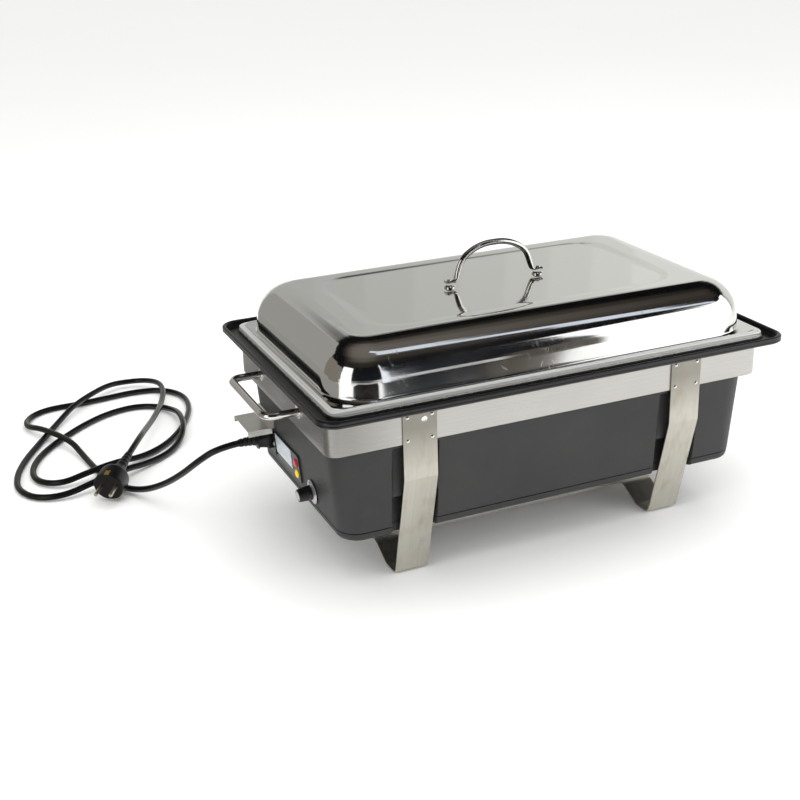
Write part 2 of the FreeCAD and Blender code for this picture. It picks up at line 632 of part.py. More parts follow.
def makeDial():
    """Thermostat inside the end wall; its shaft carries the skirt, the knob and its cap."""
    y, z = size("dialY"), size("dialZ")
    gap, thick = size("knobGap"), size("dialThick")
    case = Part.makeBox(30, 34, 26, Vector(-15, -17, -size("bodyWall") - 26.5))
    bore = Part.makeCylinder(size("shaftRadius") + 0.4, 40, Vector(0, 0, -30))
    neck = Part.makeCylinder(size("shaftRadius") + 1.2, 4, Vector(0, 0, -size("bodyWall") - 2.5))
    node(solid("Thermostat", onEnd(case.fuse(neck).cut(bore), y, z)), "thermostat_body")
    shaft = Part.makeCylinder(size("shaftRadius"), 24 + gap + thick + 9, Vector(0, 0, -24))
    node(solid("Shaft", onEnd(shaft, y, z)), "thermostat_shaft")
    skirt = Part.makeCone(size("dialRadius"), size("dialRadius") - 1.2, thick, Vector(0, 0, gap))
    skirt = skirt.cut(Part.makeCylinder(size("shaftRadius"), 20, Vector(0, 0, -5)))
    node(solid("Skirt", onEnd(skirt, y, z)), "dial_skirt")
    knob = Part.makeCone(size("knobRadius"), size("knobRadius") - 1.4, size("knobLength"),
                         Vector(0, 0, gap + thick))
    knob = knob.cut(Part.makeCylinder(size("shaftRadius"), 9, Vector(0, 0, gap + thick)))
    top = gap + thick + size("knobLength")
    knob = knob.cut(Part.makeCylinder(size("capRadius"), 2, Vector(0, 0, top - 0.6)))
    node(solid("Knob", onEnd(knob, y, z)), "thermostat_knob")
    cap = Part.makeCylinder(size("capRadius"), size("capThick"), Vector(0, 0, top - 0.6))
    node(solid("Cap", onEnd(cap, y, z)), "knob_cap")


# ---- mains inlet, connector and hood ----------------------------------------------------

def makeInlet():
    """Flanged three-pin inlet, the connector pushed into it and the sheet hood above."""
    face = endFace("inletZ")
    flange = "(%s - inletPlate)" % face
    outer = both("InletBody",
                 block("InletFlange", flange, "inletY - inletLength / 2",
                       "inletZ - inletTall / 2", "inletPlate + inletSeat", "inletLength", "inletTall"),
                 block("InletTub", flange, "inletY - socketLength / 2 - socketWall",
                       "inletZ - socketTall / 2 - socketWall", "inletPlate + inletDeep",
                       "socketLength + 2 * socketWall", "socketTall + 2 * socketWall"))
    hollow = block("InletCavity", flange + " - 1", "inletY - socketLength / 2",
                   "inletZ - socketTall / 2", "inletPlate + inletDeep - 2", "socketLength",
                   "socketTall")
    cavity = less("InletShell", outer, hollow)
    pins = []
    for i, offset in enumerate((-7, 0, 7)):
        pins.append(block("InletPin%d" % i, flange + " + 4.5", "inletY + %d - 1" % offset,
                          "inletZ - 2 + %d" % (2.5 if offset == 0 else -1),
                          "inletPlate + inletDeep - 6", "2", "4"))
    node(both("Inlet", cavity, *pins), "mains_inlet")
    screws = [taper("InletScrew%d" % i, flange, "inletY + %d * 20" % side, "inletZ", "2.8",
                    "1.8", "1.4", TO_MINUS_X) for i, side in enumerate((-1, 1))]
    node(group("InletScrews", *screws), "inlet_screws")
    nose = block("ConnectorNose", flange, "inletY - noseLength / 2", "inletZ - noseTall / 2",
                 "noseDeep", "noseLength", "noseTall")
    slots = [block("ConnectorSlot%d" % i, flange + " + 3", "inletY + %d - 1.6" % offset,
                   "inletZ - 2.6 + %d" % (2.5 if offset == 0 else -1), "noseDeep", "3.2", "5.2")
             for i, offset in enumerate((-7, 0, 7))]
    grip = block("ConnectorGrip", flange + " - plugBodyOut", "inletY - plugBodyLength / 2",
                 "inletZ - plugBodyTall / 2", "plugBodyOut - 0.2", "plugBodyLength",
                 "plugBodyTall")
    rounded = doc.addObject("Part::Fillet", "ConnectorRounded")
    rounded.Base = grip
    doc.recompute()
    long = [i + 1 for i, e in enumerate(grip.Shape.Edges) if e.BoundBox.XLength > 1]
    rounded.Edges = [(i, 4, 4) for i in long]
    bridge = block("ConnectorBridge", flange + " - 0.2", "inletY - noseLength / 2",
                   "inletZ - noseTall / 2", "0.2", "noseLength", "noseTall")
    whole = both("ConnectorBody", rounded, bridge, nose)
    node(less("Connector", whole, both("ConnectorSlots", *slots)), "cord_connector")
    node(taper("ConnectorRelief", flange + " - plugBodyOut", "inletY", "inletZ", "reliefWide",
               "cordRadius + 0.8", "reliefLong", TO_MINUS_X), "connector_relief")


def makeHood():
    wall = "(%s)" % endFace("hoodZ + 12")
    top = block("HoodTop", wall + " - hoodReach", "hoodFront", "hoodZ",
                "hoodReach", "hoodBack - hoodFront", "hoodSheet")
    drops = [block("HoodDrop%d" % i, wall + " - hoodReach", y, "hoodZ - hoodDrop",
                   "hoodReach - 3", "hoodSheet", "hoodDrop + hoodSheet / 2")
             for i, y in enumerate(("hoodFront", "hoodBack - hoodSheet"))]
    hem = block("HoodHem", endFace("hoodZ + 12") + " - hoodSheet", "hoodFront", "hoodZ",
                "hoodSheet", "hoodBack - hoodFront", "12")
    node(both("Hood", top, hem, *drops), "inlet_hood")
    rivets = [rod("HoodRivet%d" % i, endFace("hoodZ + 12") + " - hoodSheet", y, "hoodZ + 6.5",
                  "2.2", "1", TO_MINUS_X)
              for i, y in enumerate(("hoodFront + 9", "hoodBack - 9"))]
    node(group("HoodRivets", *rivets), "hood_rivets")


# ---- cord and mains plug ----------------------------------------------------------------

# The lead leaves the connector, drops to the table and lies there in three uneven loops.
CORD = [
    (-292, 90, 99), (-318, 93, 96), (-339, 106, 79), (-354, 134, 53), (-371, 168, 28),
    (-390, 200, 11), (-408, 233, 4), (-422, 272, 4), (-430, 316, 4), (-436, 356, 6),
    (-444, 396, 18), (-472, 456, 18), (-488, 486, 9), (-487, 513, 5), (-472, 537, 4),
    (-446, 549, 4), (-408, 548, 4), (-366, 552, 4), (-322, 558, 4), (-281, 549, 4),
    (-257, 514, 4), (-259, 466, 4), (-276, 418, 4), (-300, 374, 4), (-330, 338, 4),
    (-366, 314, 5), (-404, 297, 18), (-446, 279, 18), (-476, 276, 9), (-500, 293, 5),
    (-508, 322, 4), (-500, 360, 4), (-478, 398, 4), (-446, 434, 4), (-412, 466, 4),
    (-372, 492, 4), (-330, 500, 4), (-299, 482, 4), (-286, 450, 10), (-285, 420, 18),
    (-290, 378, 18), (-306, 340, 6), (-332, 310, 4), (-366, 288, 6), (-400, 268, 18),
    (-440, 249, 18), (-480, 240, 6), (-515, 253, 4), (-532, 289, 4), (-526, 334, 4),
    (-508, 380, 4), (-480, 430, 4), (-448, 482, 8), (-416, 524, 18), (-374, 566, 18),
    (-348, 588, 13), (-320, 593, 11), (-295, 580, 14), (-281, 555, 18), (-284, 518, 18),
    (-299, 472, 18), (-313, 434, 18), (-332, 390, 22), (-352, 342, 31), (-369, 300, 39),
    (-391, 267, 33),
]


def makeCord():
    points = [Vector(*p) for p in CORD]
    radii = []
    for before, here, after in zip(points, points[1:], points[2:]):
        back, ahead = before - here, after - here
        half = (math.pi - back.getAngle(ahead)) / 2
        radii.append(0.45 * min(back.Length, ahead.Length) / math.tan(half))
    print("cord radii, mm:", " ".join("%.0f" % r for r in radii))
    print("cord length, mm: %.0f" % bentPath(points, radii).Length)
    node(solid("Cord", bentRod(points, radii, size("cordRadius"))), "power_cord")
    makePlug(points[-1], (points[-1] - points[-2]).normalize())


def makePlug(start, along):
    """Moulded two-pin earthed plug: tapered relief, round body with two flats and side clips."""
    turn = Rotation(Vector(0, 0, 1), along)
    level = turn.multVec(Vector(1, 0, 0))
    spin = math.degrees(math.atan2(turn.multVec(Vector(0, 1, 0)).z, level.z))
    turn = turn.multiply(Rotation(Vector(0, 0, 1), spin))
    relief, long, radius = size("plugRelief"), size("plugLength"), size("plugRadius")

    def moved(shape):
        shape.Placement = Placement(start, turn)
        return shape

    node(solid("PlugRelief", moved(Part.makeCone(size("cordRadius") + 0.8, 7.5, relief))),
         "plug_relief")
    shoulder = Part.makeCone(11, radius, 12, Vector(0, 0, relief))
    barrel = Part.makeCylinder(radius, long - 12, Vector(0, 0, relief + 12))
    shape = shoulder.fuse(barrel)
    for side in (-1, 1):
        flat = Part.makeBox(8, 60, 18, Vector(side * (radius - 1.6) - (8 if side < 0 else 0), -30,
                                              relief + long - 18))
        shape = shape.cut(flat)
    hole = Part.makeCylinder(2.5, 16, Vector(9, 0, relief + long - 16))
    shape = shape.cut(hole)
    clips = []
    clipHalf = size("earthWidth") / 2
    for side in (-1, 1):
        x = side * (radius - 1.6)
        clips.append(Part.makeBox(1.2, 2 * clipHalf, size("earthLength"),
                                  Vector(x - 0.6, -clipHalf, relief + long - 17)))
    shape = shape.cut(Part.makeCompound(clips))
    pins = []
    for side in (-1, 1):
        base = Vector(0, side * size("pinPitch") / 2, relief + long - 6)
        pin = Part.makeCylinder(size("pinRadius"), size("pinLength") + 6, base)
        tip = [e for e in pin.Edges if e.BoundBox.ZMin > relief + long + 5]
        pins.append(pin.makeFillet(1.2, tip))
    shape = shape.cut(Part.makeCompound(pins))
    node(solid("PlugBody", moved(shape.removeSplitter())), "plug_body")
    node(solid("PlugPins", moved(Part.makeCompound(pins))), "plug_pins")
    node(solid("PlugClips", moved(Part.makeCompound(clips))), "plug_earth_clips")


# ---- electrical parts inside ------------------------------------------------------------

def basinFloor():
    return size("bandTop") + size("rimPlate") + size("basinSheet") - size("basinDepth")


def makeHeater():
    """Sheathed loop clamped by an aluminium plate under the basin, with its safety parts."""
    floor = basinFloor()
    radius = size("elementRod") / 2
    plate = Part.makeBox(size("spreaderLength"), size("spreaderWidth"), size("spreaderSheet"),
                         Vector(-size("spreaderLength") / 2, -size("spreaderWidth") / 2,
                                floor - size("spreaderSheet")))
    node(solid("Spreader", plate), "heat_spreader")
    z = floor - size("spreaderSheet") - radius
    half, wide = size("elementSpan") / 2, size("elementWide") / 2
    points = [Vector(-half, -18, z), Vector(half * 0.3, -18, z), Vector(half * 0.3, -wide, z),
              Vector(half, -wide, z), Vector(half, wide, z), Vector(half * 0.3, wide, z),
              Vector(half * 0.3, 18, z), Vector(-half, 18, z)]
    bend = size("elementBend")
    radii = [bend * 0.6, bend * 0.6, bend, bend, bend * 0.6, bend * 0.6]
    node(solid("Element", bentRod(points, radii, radius)), "heating_element")
    bars = []
    for x in (-0.6, 0.75):
        bar = Part.makeBox(14, 2 * wide + 36, 2, Vector(x * half - 7, -wide - 18, z - radius - 2))
        bars.append(bar)
        for side in (-1, 1):
            bars.append(Part.makeCylinder(3, 2 * radius, Vector(x * half, side * (wide + 12),
                                                                z - radius)))
    clamp = bars[0].fuse(bars[1:3])
    other = bars[3].fuse(bars[4:6])
    node(solid("Clamps", Part.makeCompound([clamp, other])), "element_clamps")
    makeSensor(z)
    cutout = Part.makeCylinder(8, 9, Vector(half * 0.3 + 45, 0, floor - size("spreaderSheet") - 9))
    node(solid("Cutout", cutout), "thermal_cutout")


def makeSensor(z):
    """Capillary bulb under the spreader, fed by a thin tube from the thermostat."""
    radius = size("bulbRadius")
    startX = -size("elementSpan") / 2 + 20
    top = basinFloor() - size("spreaderSheet") - radius
    bulb = Part.makeCylinder(radius, size("bulbLength"), Vector(startX, 0, top), Vector(1, 0, 0))
    caseX = endFaceAt(size("dialZ")) + size("bodyWall") + 28
    points = [Vector(caseX + 1.5, size("dialY"), size("dialZ")),
              Vector(caseX + 22, size("dialY"), size("dialZ")),
              Vector(startX - 38, -34, 102), Vector(startX - 36, 0, 109),
              Vector(startX + 1, 0, top)]
    tube = bentRod(points, sameRadii(points, 7), 1)
    node(solid("Sensor", bulb.fuse(tube)), "sensor_bulb")


def makeWiring():
    """Terminal block on the base cover and the wires to the inlet, thermostat and element."""
    floor = size("bodyBottom") + size("bodyWall")
    block_ = Part.makeBox(22, 46, 14, Vector(-188, 22, floor))
    node(solid("Terminals", block_), "terminal_block")
    back = endFaceAt(size("inletZ")) + size("inletDeep")
    r = size("wireRadius")
    wires = []
    for i, offset in enumerate((-7, 0, 7)):
        y, dz = size("inletY") + offset, size("inletZ") + (2 if offset == 0 else -2)
        points = [Vector(back, y, dz), Vector(back + 14, y, dz),
                  Vector(-200, 32 + 13 * i, floor + 7), Vector(-188, 32 + 13 * i, floor + 7)]
        wires.append(bentRod(points, sameRadii(points, 4), r))
    node(solid("SupplyWires", Part.makeCompound(wires)), "supply_wires")
    z = basinFloor() - size("spreaderSheet") - size("elementRod") / 2
    end = -size("elementSpan") / 2
    feeds = []
    for i, y in enumerate((18, 40)):
        target = Vector(end, 18 if i == 0 else -18, z)
        points = [Vector(-172, 34 + 16 * i, floor + 14), Vector(-172, 34 + 16 * i, floor + 24),
                  target - Vector(16, 0, 0), target]
        feeds.append(bentRod(points, sameRadii(points, 4), r))
    node(solid("ElementWires", Part.makeCompound(feeds)), "element_wires")


def check():
    """Stops before anything is written if an object failed or a shape is not sound."""
    bad = [o.Name for o in doc.Objects if {"Invalid", "Error"} & set(o.State)]
    bad += [o.Label for o in NODES if o.Shape.isNull() or not o.Shape.isValid()]
    bad += [o.Label for o in NODES if not o.Shape.Solids]
    if bad:
        raise RuntimeError("unsound: " + ", ".join(bad))


makeBand()
makeStraps()
makeTray()
makeHousing()
makeBase()
makeRim()
makeBasin()
makePan()
makeLid()
makeGrips()
makePanel()
makeDial()
makeInlet()
makeHood()
makeCord()
makeHeater()
makeWiring()
doc.recompute()
check()
os.makedirs("parts", exist_ok=True)
for item in NODES:
    item.Shape.exportStep("parts/%s.step" % item.Label)
print(len(NODES), "nodes")
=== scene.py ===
import math

import bpy
import numpy as np
from mathutils import Matrix, Quaternion, Vector


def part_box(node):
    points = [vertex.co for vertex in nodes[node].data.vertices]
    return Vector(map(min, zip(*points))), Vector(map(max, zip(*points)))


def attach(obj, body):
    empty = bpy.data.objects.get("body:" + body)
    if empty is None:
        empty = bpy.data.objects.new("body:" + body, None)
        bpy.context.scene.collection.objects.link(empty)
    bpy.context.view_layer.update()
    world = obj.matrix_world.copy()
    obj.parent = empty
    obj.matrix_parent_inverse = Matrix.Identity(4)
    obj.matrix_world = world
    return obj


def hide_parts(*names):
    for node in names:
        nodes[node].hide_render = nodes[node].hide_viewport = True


# Looks of the electric buffet server: polished lid, black rim and housing, brushed band and
# straps, mains lead with its plug. Shapes are worked out in millimetres and stored in metres.

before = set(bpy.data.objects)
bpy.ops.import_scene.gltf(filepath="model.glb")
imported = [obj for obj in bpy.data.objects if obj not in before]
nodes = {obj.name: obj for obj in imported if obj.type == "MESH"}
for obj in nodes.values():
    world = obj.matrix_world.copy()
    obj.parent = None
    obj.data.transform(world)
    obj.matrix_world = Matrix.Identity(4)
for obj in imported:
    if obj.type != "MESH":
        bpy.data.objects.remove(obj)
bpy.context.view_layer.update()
metre = 0.001


def nodeBox(name):
    # Lowest and highest corner of a CAD node, in millimetres.
    low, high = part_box(name)
    return np.array(low) / metre, np.array(high) / metre


# a node's place is read from the frame once, here
lidLow, lidHigh = nodeBox("lid")
rimLow, rimHigh = nodeBox("rim_collar")
bandLow, bandHigh = nodeBox("frame_band")
panLow, panHigh = nodeBox("food_pan")
basinLow, basinHigh = nodeBox("water_basin")
print("frame loaded:", len(nodes), "nodes")


cameraView = dict(place=(-0.66576, -1.28041, 0.71811), aim=(-0.11802, 0.0098, 0.15),
                  roll=1.76, lens=58.54, sensor=36.0)


def makeCamera(view):
    data = bpy.data.cameras.new("mainCamera")
    data.lens = view["lens"]
    data.sensor_width = view["sensor"]
    data.clip_end = 50
    camera = bpy.data.objects.new("mainCamera", data)
    bpy.context.scene.collection.objects.link(camera)
    gaze = Vector(view["aim"]) - Vector(view["place"])
    upright = gaze.to_track_quat("-Z", "Y")
    turn = upright @ Quaternion((0, 0, 1), -math.radians(view["roll"]))
    camera.matrix_world = Matrix.LocRotScale(Vector(view["place"]), turn, None)
    bpy.context.scene.camera = camera


makeCamera(cameraView)


def addMesh(name, points, faces, body, finish, crease=32):
    # Puts points in millimetres and faces into a mesh that looks outwards and rides a body.
    points = np.asarray(points, float).reshape(-1, 3)
    faces = [list(map(int, face)) for face in faces]
    mesh = bpy.data.meshes.new(name)
    mesh.from_pydata((points * metre).tolist(), [], faces)
    mesh.validate()
    mesh.polygons.foreach_set("use_smooth", np.ones(len(mesh.polygons), bool))
    mesh.set_sharp_from_angle(angle=math.radians(crease))
    mesh.materials.append(finish)
    piece = bpy.data.objects.new(name, mesh)
    bpy.context.scene.collection.objects.link(piece)
    if body:
        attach(piece, body)
    return piece


def gridFaces(rows, columns, loop=True, ring=False):
    # Quads between the rows of a grid; loop closes each row and ring joins the last row to the first.
    index = np.arange(rows * columns).reshape(rows, columns)
    if loop:
        index = np.concatenate([index, index[:, :1]], axis=1)
    if ring:
        index = np.concatenate([index, index[:1]], axis=0)
    return np.stack([index[:-1, :-1], index[:-1, 1:], index[1:, 1:], index[1:, :-1]],
                    axis=-1).reshape(-1, 4)


def volumeSign(points, faces):
    # Positive where the quads look away from the middle of the points.
    points = points - points.mean(axis=0)
    a, b, c, d = (points[faces[:, k]] for k in range(4))
    return np.sum(np.cross(b - a, c - a) * a) + np.sum(np.cross(c - a, d - a) * a)


def addGrid(name, grid, body, finish, loop=True, ring=False, caps=(), crease=32):
    # A grid of points, row by row, as one surface; caps close the first or the last row.
    rows, columns = grid.shape[:2]
    points = grid.reshape(-1, 3)
    faces = gridFaces(rows, columns, loop, ring)
    ends = {"first": np.arange(columns)[::-1], "last": np.arange(columns) + (rows - 1) * columns}
    lids = [ends[end] for end in caps]
    if volumeSign(points, faces) < 0:
        faces = faces[:, ::-1]
        lids = [cap[::-1] for cap in lids]
    return addMesh(name, points, list(faces) + lids, body, finish, crease)


def thicken(piece, wall, crease=32):
    # Gives an outer surface its wall, inwards, and keeps the result as the mesh.
    shell = piece.modifiers.new("wall", "SOLIDIFY")
    shell.thickness = wall * metre
    shell.offset = -1
    shell.use_even_offset = True
    bpy.context.view_layer.update()
    graph = bpy.context.evaluated_depsgraph_get()
    mesh = bpy.data.meshes.new_from_object(piece.evaluated_get(graph))
    piece.modifiers.clear()
    piece.data = mesh
    mesh.set_sharp_from_angle(angle=math.radians(crease))
    return piece


def roundedLine(corners, radii, steps=7):
    # A polyline with an arc of the given radius at each inner corner, as an array of points.
    corners = np.asarray(corners, float)
    pieces = [corners[:1]]
    for before, here, after, radius in zip(corners, corners[1:], corners[2:], radii):
        back, ahead = before - here, after - here
        back, ahead = back / np.linalg.norm(back), ahead / np.linalg.norm(ahead)
        half = (math.pi - math.acos(np.clip(back @ ahead, -1, 1))) / 2
        middle = back + ahead
        if radius <= 0 or half < 1e-4:
            pieces.append(here[None])
            continue
        centre = here + middle / np.linalg.norm(middle) * radius / math.cos(half)
        start = here + back * radius * math.tan(half) - centre
        side = here + ahead * radius * math.tan(half) - centre
        turn = 2 * half
        t = np.linspace(0, 1, steps)[:, None]
        pieces.append(centre + (np.sin((1 - t) * turn) * start + np.sin(t * turn) * side)
                      / math.sin(turn))
    pieces.append(corners[-1:])
    return np.concatenate(pieces)


def spaced(line, gap):
    # The same polyline with extra points, so that no stretch is longer than gap.
    steps = np.linalg.norm(np.diff(line, axis=0), axis=1)
    counts = np.maximum(1, np.ceil(steps / gap).astype(int))
    where = np.concatenate([i + np.arange(n) / n for i, n in enumerate(counts)] + [[len(line) - 1]])
    return np.stack([np.interp(where, np.arange(len(line)), line[:, k])
                     for k in range(line.shape[1])], axis=1)


def planRing(halfLong, halfWide, corner, sides=24, turns=14):
    # Rounded rectangles, one row for each value: a point is a corner's centre or a place between
    # two of them, plus the corner radius along the direction it faces.
    halfLong, halfWide, corner = (np.asarray(v, float)[:, None] for v in
                                  np.broadcast_arrays(halfLong, halfWide, corner))
    quarter = np.linspace(0, math.pi / 2, turns)
    run = np.linspace(-1, 1, sides + 2)[1:-1]
    signs = [(1, 1), (-1, 1), (-1, -1), (1, -1)]
    acrossX, acrossY, facing = [], [], []
    for k, (sx, sy) in enumerate(signs):
        acrossX += [np.full(turns, sx), -run if k == 0 else run if k == 2 else np.full(sides, sx)]
        acrossY += [np.full(turns, sy), -run if k == 1 else run if k == 3 else np.full(sides, sy)]
        facing += [quarter + k * math.pi / 2, np.full(sides, (k + 1) * math.pi / 2)]
    acrossX, acrossY, facing = (np.concatenate(v)[None] for v in (acrossX, acrossY, facing))
    x = acrossX * (halfLong - corner) + corner * np.cos(facing)
    y = acrossY * (halfWide - corner) + corner * np.sin(facing)
    return np.stack([x, y], axis=-1)


def shellRows(halfLong, halfWide, profile, cornerAt, cornerIs, sideIs=None, **counts):
    # A profile of inset and height carried round a rounded rectangle; the corner radius, and
    # the inset of the long sides where sideIs gives it, follow the inset.
    inset, height = profile[:, 0], profile[:, 1]
    corner = np.interp(inset, cornerAt, cornerIs)
    sideInset = inset
    if sideIs is not None:
        beyond = inset - cornerAt[-1]
        sideInset = np.interp(inset, cornerAt, sideIs) + np.maximum(beyond, 0)
    plan = planRing(halfLong - inset, halfWide - sideInset, corner, **counts)
    return np.concatenate([plan, np.broadcast_to(height[:, None, None], plan.shape[:2] + (1,))],
                          axis=-1)


def closingRows(edge, first, last, count, height):
    # Rows that shrink an edge towards its middle at one height, to close a top or a floor.
    share = np.concatenate([np.linspace(first, last, count), [0.0005]])[:, None, None]
    plan = edge[None, :, :2] * share
    return np.concatenate([plan, np.full(plan.shape[:2] + (1,), float(height))], axis=-1)


def planarSweep(path, binormal, across, up):
    # A section of across and up values carried along a flat path; up runs along the binormal.
    tangent = np.gradient(path, axis=0)
    tangent /= np.linalg.norm(tangent, axis=1, keepdims=True)
    binormal = np.asarray(binormal, float)
    normal = np.cross(binormal, tangent)
    return (path[:, None] + across[..., None] * normal[:, None] + up[..., None] * binormal)


def circle(count, radius=1.0):
    turn = np.linspace(0, 2 * math.pi, count, endpoint=False)
    return radius * np.cos(turn), radius * np.sin(turn)


def addRod(name, corners, radii, binormal, radius, body, finish, squeeze=None, steps=12, count=28):
    # A round bar along a flat bent path; squeeze gives width and height factors along it.
    path = spaced(roundedLine(corners, radii, steps), 3.0)
    across, up = circle(count, radius)
    share = np.linspace(0, 1, len(path))
    wide, tall = squeeze(path) if squeeze else (np.ones_like(share), np.ones_like(share))
    grid = planarSweep(path, binormal, across[None] * tall[:, None], up[None] * wide[:, None])
    return addGrid(name, grid, body, finish, caps=("first", "last"))


def turned(profile, origin, axis, count=64):
    # A profile of radius and height turned about an axis.
    cos, sin = circle(count)
    radius, height = profile[:, 0][:, None], profile[:, 1][:, None]
    local = np.stack([radius * cos, radius * sin, np.broadcast_to(height, (len(profile), count))],
                     axis=-1)
    turn = np.array(Vector((0, 0, 1)).rotation_difference(Vector(axis)).to_matrix())
    return local @ turn.T + np.asarray(origin, float)


def addTurned(name, corners, radii, origin, axis, body, finish, count=64, steps=6):
    # A solid turned from a profile whose ends both stand on the axis.
    profile = roundedLine(corners, radii, steps)
    profile[:, 0] = np.maximum(profile[:, 0], 0.02)
    return addGrid(name, turned(profile, origin, axis, count), body, finish,
                   caps=("first", "last"))


def joined(name, parts, body):
    # Several meshes as one piece.
    points, faces, start = [], [], 0
    for part in parts:
        data = part.data
        co = np.empty(len(data.vertices) * 3)
        data.vertices.foreach_get("co", co)
        points.append(co.reshape(-1, 3) / metre)
        faces += [[v + start for v in face.vertices] for face in data.polygons]
        start += len(data.vertices)
    finish = parts[0].data.materials[0]
    for part in parts:
        bpy.data.objects.remove(part)
    return addMesh(name, np.concatenate(points), faces, body, finish)


def hexColour(text):
    # An sRGB hex value as a linear colour.
    parts = np.array([int(text[i:i + 2], 16) / 255 for i in (1, 3, 5)])
    linear = np.where(parts <= 0.04045, parts / 12.92, ((parts + 0.055) / 1.055) ** 2.4)
    return (*linear.tolist(), 1.0)


def addNode(tree, kind, settings=None, links=None):
    # One node: settings are its properties or socket values, links feed its inputs.
    node = tree.nodes.new(kind)
    for key, value in (settings or {}).items():
        if isinstance(key, str) and hasattr(node, key):
            setattr(node, key, value)
        else:
            node.inputs[key].default_value = value
    for key, source in (links or {}).items():
        tree.links.new(source, node.inputs[key])
    return node


def startFinish(name, colour, metallic, roughness, **sockets):
    # A material with its shader's uniform values, and the object's own coordinates.
    finish = bpy.data.materials.new(name)
    finish.use_nodes = True
    tree = finish.node_tree
    shader = tree.nodes["Principled BSDF"]
    shader.inputs["Base Color"].default_value = hexColour(colour)
    shader.inputs["Metallic"].default_value = metallic
    shader.inputs["Roughness"].default_value = roughness
    for socket, value in sockets.items():
        shader.inputs[socket].default_value = value
    finish.diffuse_color = hexColour(colour)
    place = addNode(tree, "ShaderNodeTexCoord").outputs["Object"]
    return finish, tree, shader, place


def stretched(tree, place, scale, turn=(0, 0, 0)):
    # Object coordinates turned and stretched, for grain that runs one way.
    turned = addNode(tree, "ShaderNodeMapping", {"Rotation": turn}, {"Vector": place})
    return addNode(tree, "ShaderNodeMapping", {"Scale": scale},
                   {"Vector": turned.outputs["Vector"]}).outputs["Vector"]


def noise(tree, place, scale, detail=3.0, rough=0.5):
    return addNode(tree, "ShaderNodeTexNoise",
                   {"Scale": scale, "Detail": detail, "Roughness": rough},
                   {"Vector": place}).outputs["Fac"]


def between(tree, value, low, high, fromLow=0.3, fromHigh=0.7):
    # A value moved from one range to another and kept inside it.
    return addNode(tree, "ShaderNodeMapRange", {"From Min": fromLow, "From Max": fromHigh,
                                                "To Min": low, "To Max": high},
                   {"Value": value}).outputs["Result"]


def blended(tree, factor, first, second):
    # Two colours, or a colour and a socket, mixed by a factor.
    node = addNode(tree, "ShaderNodeMix", {"data_type": "RGBA"}, {"Factor": factor})
    for slot, value in ((6, first), (7, second)):
        if isinstance(value, str):
            node.inputs[slot].default_value = hexColour(value)
        else:
            tree.links.new(value, node.inputs[slot])
    return node.outputs[2]


def bumped(tree, shader, height, strength, depth):
    # Relief of a depth in metres.
    bump = addNode(tree, "ShaderNodeBump", {"Strength": strength, "Distance": depth},
                   {"Height": height})
    tree.links.new(bump.outputs["Normal"], shader.inputs["Normal"])


def scratches(tree, place, across, turn, thin):
    # Thin marks: noise drawn out along one turned direction and cut to its peaks.
    line = noise(tree, stretched(tree, place, (across, across * 0.06, across * 0.06), turn), 1.0, 2.0)
    return between(tree, line, 0.0, 1.0, thin, thin + 0.04)


def mirrorSteel(name, colour, roughness, marks, satinAndPaintedPaleBelow=None):
    # 18/10 stainless, buffed after drawing: a clear reflection, slightly rippled by the press,
    # with haze and short wiping marks that only show beside a highlight.
    finish, tree, shader, place = startFinish(name, colour, 1.0, roughness)
    haze = between(tree, noise(tree, place, 14.0, 4.0), roughness * 0.75, roughness * 1.5)
    fine = scratches(tree, place, 1100.0, (0.3, 0.5, 0.9), 0.675)
    other = scratches(tree, place, 1400.0, (0.9, 0.1, -0.5), 0.69)
    both = addNode(tree, "ShaderNodeMath", {"operation": "MAXIMUM"}, {0: fine, 1: other})
    patch = between(tree, noise(tree, place, 9.0, 2.0), 0.0, marks, 0.45, 0.62)
    worn = addNode(tree, "ShaderNodeMath", {"operation": "MULTIPLY"},
                   {0: both.outputs[0], 1: patch}).outputs[0]
    dull = addNode(tree, "ShaderNodeMath", {"operation": "MULTIPLY_ADD", 1: 0.22},
                   {0: worn, 2: haze}).outputs[0]
    if satinAndPaintedPaleBelow:
        # Below this height, the rolled edge, the steel is drawn satin, and its metal share is lowered so
        # that it renders paler: painted brightness.
        parts = addNode(tree, "ShaderNodeSeparateXYZ", {}, {0: place})
        satin = between(tree, parts.outputs["Z"], 0.3, 0.0, satinAndPaintedPaleBelow, satinAndPaintedPaleBelow + 0.0006)
        tree.links.new(between(tree, parts.outputs["Z"], 0.5, 1.0, satinAndPaintedPaleBelow, satinAndPaintedPaleBelow + 0.0006),
                       shader.inputs["Metallic"])
        dull = addNode(tree, "ShaderNodeMath", {"operation": "ADD"}, {0: dull, 1: satin}).outputs[0]
    tree.links.new(dull, shader.inputs["Roughness"])
    ripple = noise(tree, place, 7.0, 1.0)
    height = addNode(tree, "ShaderNodeMath", {"operation": "MULTIPLY_ADD", 1: 0.008},
                     {0: worn, 2: ripple}).outputs[0]
    bumped(tree, shader, height, 0.25, 0.0006)
    return finish


